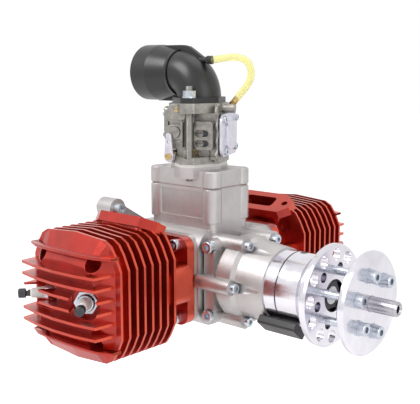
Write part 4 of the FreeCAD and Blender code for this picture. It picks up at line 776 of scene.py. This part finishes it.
def carburettor_ribs():
    """Rib, plug block, collar, boss, ledge and recess rim on the carburettor's front."""
    return joined("carburettor_ribs", [
        cut_plate("rib", [rounded_box(-7.7, 100.3, 0.8, 9.6, 0.6)], 12.6, 17.0, CARB_FACE),
        cut_plate("block", [rounded_box(-9.1, 116.3, 5.9, 5.6, 2.4)], 12.6, 21.4, CARB_FACE, 0.4),
        cut_plate("collar", [rounded_box(-13.5, 101.5, 5.3, 5.3, 1.8), circle(-13.5, 101.5, 4.15)],
                  12.6, 15.2, CARB_FACE),
        turned("boss", [(0, 12.5), (4.4, 12.5), (4.4, 14.9), (3.9, 15.6), (0, 15.6)], face_at(-3.4, 86.2)),
        cut_plate("ledge", [rounded_box(9.3, 83.4, 8.4, 1.1, 0.6)], 12.6, 15.6, CARB_FACE),
        cut_plate("recess_rim", [circle(8.6, 86.9, 3.9), circle(8.6, 86.9, 3.2)], 12.6, 14.6, CARB_FACE)])


class ENGINE_OT_carburettor(bpy.types.Operator):
    """Finish the carburettor and make its small cast forms, plug and throttle spring"""
    bl_idname = "engine.carburettor"
    bl_label = "Carburettor"

    def execute(self, context):
        alloy = carburettor_alloy()
        brass = plain_brass()
        sheet = stamped_sheet()
        paint(in_slots("carb_metal"), alloy)
        paint(in_slots("brass"), brass)
        paint(["metering_cover", "throttle_lever", "choke_lever"], sheet)
        fit("needle_shroud", needle_shroud(), "engine", alloy)
        fit("metering_flange", wavy_flange(), "engine", alloy)
        fit("carburettor_ribs", carburettor_ribs(), "engine", alloy)
        fit("idle_plug", slotted_plug("idle_plug", -9.4, 118.0, 21.2, 1.8), "engine", brass)
        spool = turned("throttle_spool", SPOOL_SECTION, face_at(*THROTTLE_PIN))
        fit("throttle_spool", spool, "engine", sheet)
        # The black floor behind the needle windows is painted shade.
        fit("needle_well_shade_floor", needle_well_shade_floor(), "engine", black_steel("needle_well_painted_shade"))
        paint(["idle_needle", "main_needle"], rolled_stud("needle_steel"))
        self.coil(context, brass)
        return {"FINISHED"}

    def coil(self, context, brass):
        """The return spring, wound round the throttle pin in place of the plain solid."""
        curve = bpy.data.curves.new("throttle_coil", "CURVE")
        curve.dimensions = "3D"
        curve.bevel_depth = COIL_WIRE / 2000
        curve.bevel_resolution = 4
        turns = settings().metal.spring_turns
        steps = 20 * turns
        spline = curve.splines.new("POLY")
        spline.points.add(steps)
        place = face_at(*THROTTLE_PIN)
        for k, point in enumerate(spline.points):
            angle = 2 * math.pi * turns * k / steps
            spot = place @ Vector((COIL_RADIUS * math.cos(angle), COIL_RADIUS * math.sin(angle),
                                   COIL_START + (COIL_END - COIL_START) * k / steps))
            point.co = (*spot, 1)
        coil = bpy.data.objects.new("throttle_coil", curve)
        context.scene.collection.objects.link(coil)
        curve.materials.append(brass.material)
        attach(coil, "engine")
        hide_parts("throttle_spring")


# ---------------------------------------------------------------- stage

CAMERA_PLACE = (0.462172, -0.444250, 0.149994)
CAMERA_AZIMUTH = math.radians(41.761)
CAMERA_ELEVATION = math.radians(9.526)
CAMERA_LENS = 70.71
LIGHTS_AIM = (0.09, 0, 0.03)
KEY_PLACE, KEY_SIZE = (-0.25, -0.75, 0.85), 0.6
FILL_PLACE, FILL_SIZE = (0.95, -0.25, 0.35), 0.7
TOP_PLACE, TOP_SIZE = (0.1, 0.2, 1.1), 0.8
FLOOR_HALF = 4.0
FLOOR_GLOW_SEEN = 0.6
FLOOR_GLOW_REFLECTED = 0.36


def area_light(name, power, size, place, target):
    lamp = bpy.data.lights.new(name, "AREA")
    lamp.energy = power
    lamp.shape = "DISK"
    lamp.size = size
    holder = bpy.data.objects.new(name, lamp)
    holder.location = place
    holder.rotation_euler = (Vector(target) - Vector(place)).to_track_quat("-Z", "Y").to_euler()
    bpy.context.scene.collection.objects.link(holder)


class ENGINE_OT_camera(bpy.types.Operator):
    """Make the camera"""
    bl_idname = "engine.camera"
    bl_label = "Camera"

    def execute(self, context):
        lens = bpy.data.cameras.new("camera")
        lens.lens = CAMERA_LENS
        lens.sensor_width = 36
        lens.clip_start = 0.01
        camera = bpy.data.objects.new("camera", lens)
        back = Vector((math.sin(CAMERA_AZIMUTH) * math.cos(CAMERA_ELEVATION),
                       -math.cos(CAMERA_AZIMUTH) * math.cos(CAMERA_ELEVATION), math.sin(CAMERA_ELEVATION)))
        camera.location = CAMERA_PLACE
        camera.rotation_mode = "QUATERNION"
        camera.rotation_quaternion = (-back).to_track_quat("-Z", "Y")
        context.scene.collection.objects.link(camera)
        context.scene.camera = camera
        return {"FINISHED"}


class ENGINE_OT_stage(bpy.types.Operator):
    """Make the floor, the white surroundings and the lights"""
    bl_idname = "engine.stage"
    bl_label = "Stage"

    def execute(self, context):
        look = settings().stage
        context.scene.view_settings.view_transform = "Standard"
        self.surroundings(context, look.ambient)
        self.floor(context, CAD_BOX[0][2] - look.floor_drop)
        area_light("key", look.key, KEY_SIZE, KEY_PLACE, LIGHTS_AIM)
        area_light("fill", look.fill, FILL_SIZE, FILL_PLACE, LIGHTS_AIM)
        area_light("top", look.fill, TOP_SIZE, TOP_PLACE, LIGHTS_AIM)
        return {"FINISHED"}

    def surroundings(self, context, ambient):
        """A world that is white where it is seen or reflected, and dimmer as light."""
        world = bpy.data.worlds.new("white_room")
        context.scene.world = world
        world.use_nodes = True
        tree = world.node_tree
        tree.nodes.clear()
        path = tree.nodes.new("ShaderNodeLightPath")
        seen = tree.nodes.new("ShaderNodeMath")
        seen.operation = "MAXIMUM"
        tree.links.new(path.outputs["Is Camera Ray"], seen.inputs[0])
        tree.links.new(path.outputs["Is Glossy Ray"], seen.inputs[1])
        all_seen = tree.nodes.new("ShaderNodeMath")
        all_seen.operation = "MAXIMUM"
        tree.links.new(seen.outputs[0], all_seen.inputs[0])
        tree.links.new(path.outputs["Is Transmission Ray"], all_seen.inputs[1])
        strength = tree.nodes.new("ShaderNodeMapRange")
        tree.links.new(all_seen.outputs[0], strength.inputs["Value"])
        strength.inputs["To Min"].default_value = ambient
        strength.inputs["To Max"].default_value = 1.0
        background = tree.nodes.new("ShaderNodeBackground")
        background.inputs["Color"].default_value = (1, 1, 1, 1)
        tree.links.new(strength.outputs["Result"], background.inputs["Strength"])
        output = tree.nodes.new("ShaderNodeOutputWorld")
        tree.links.new(background.outputs[0], output.inputs["Surface"])

    def floor(self, context, height):
        """A pale floor that glows faintly where it is seen, and keeps the engine's shadow."""
        mesh = bpy.data.meshes.new("floor")
        corners = [(FLOOR_HALF * x, FLOOR_HALF * y, height)
                   for x, y in ((-1, -1), (1, -1), (1, 1), (-1, 1))]
        mesh.from_pydata(corners, [], [(0, 1, 2, 3)])
        floor = bpy.data.objects.new("floor", mesh)
        context.scene.collection.objects.link(floor)
        pale = Finish("pale_floor", (0.93, 0.93, 0.93), 0.0, 0.9)
        path = pale.add("ShaderNodeLightPath")
        reflected = pale.math("MULTIPLY", path.outputs["Is Glossy Ray"], FLOOR_GLOW_REFLECTED)
        seen = pale.math("MAXIMUM", path.outputs["Is Camera Ray"], path.outputs["Is Transmission Ray"])
        glow = pale.math("MAXIMUM", pale.math("MULTIPLY", seen, FLOOR_GLOW_SEEN), reflected)
        pale.shader.inputs["Emission Color"].default_value = (1, 1, 1, 1)
        pale.link(glow, pale.shader.inputs["Emission Strength"])
        mesh.materials.append(pale.material)


# ---------------------------------------------------------------- add-on

OPERATORS = (
    ENGINE_OT_camera, ENGINE_OT_tube, ENGINE_OT_castings, ENGINE_OT_drive, ENGINE_OT_fasteners,
    ENGINE_OT_carburettor, ENGINE_OT_plastics, ENGINE_OT_stage,
)


class ENGINE_PT_dressing(bpy.types.Panel):
    """Steps that dress the engine"""
    bl_idname = "ENGINE_PT_dressing"
    bl_label = "Engine dressing"
    bl_space_type = "VIEW_3D"
    bl_region_type = "UI"
    bl_category = "Engine"

    def draw(self, context):
        for operator in OPERATORS:
            self.layout.operator(operator.bl_idname)


CLASSES = (CastingSettings, MetalSettings, PlasticSettings, StageSettings, DressingSettings,
           *OPERATORS, ENGINE_PT_dressing)


def register():
    for cls in CLASSES:
        bpy.utils.register_class(cls)
    bpy.types.Scene.engine_dressing = PointerProperty(type=DressingSettings)


def unregister():
    del bpy.types.Scene.engine_dressing
    for cls in reversed(CLASSES):
        bpy.utils.unregister_class(cls)


def main():
    register()
    for operator in OPERATORS:
        group, name = operator.bl_idname.split(".")
        getattr(getattr(bpy.ops, group), name)()


if __name__ == "__main__":
    main()
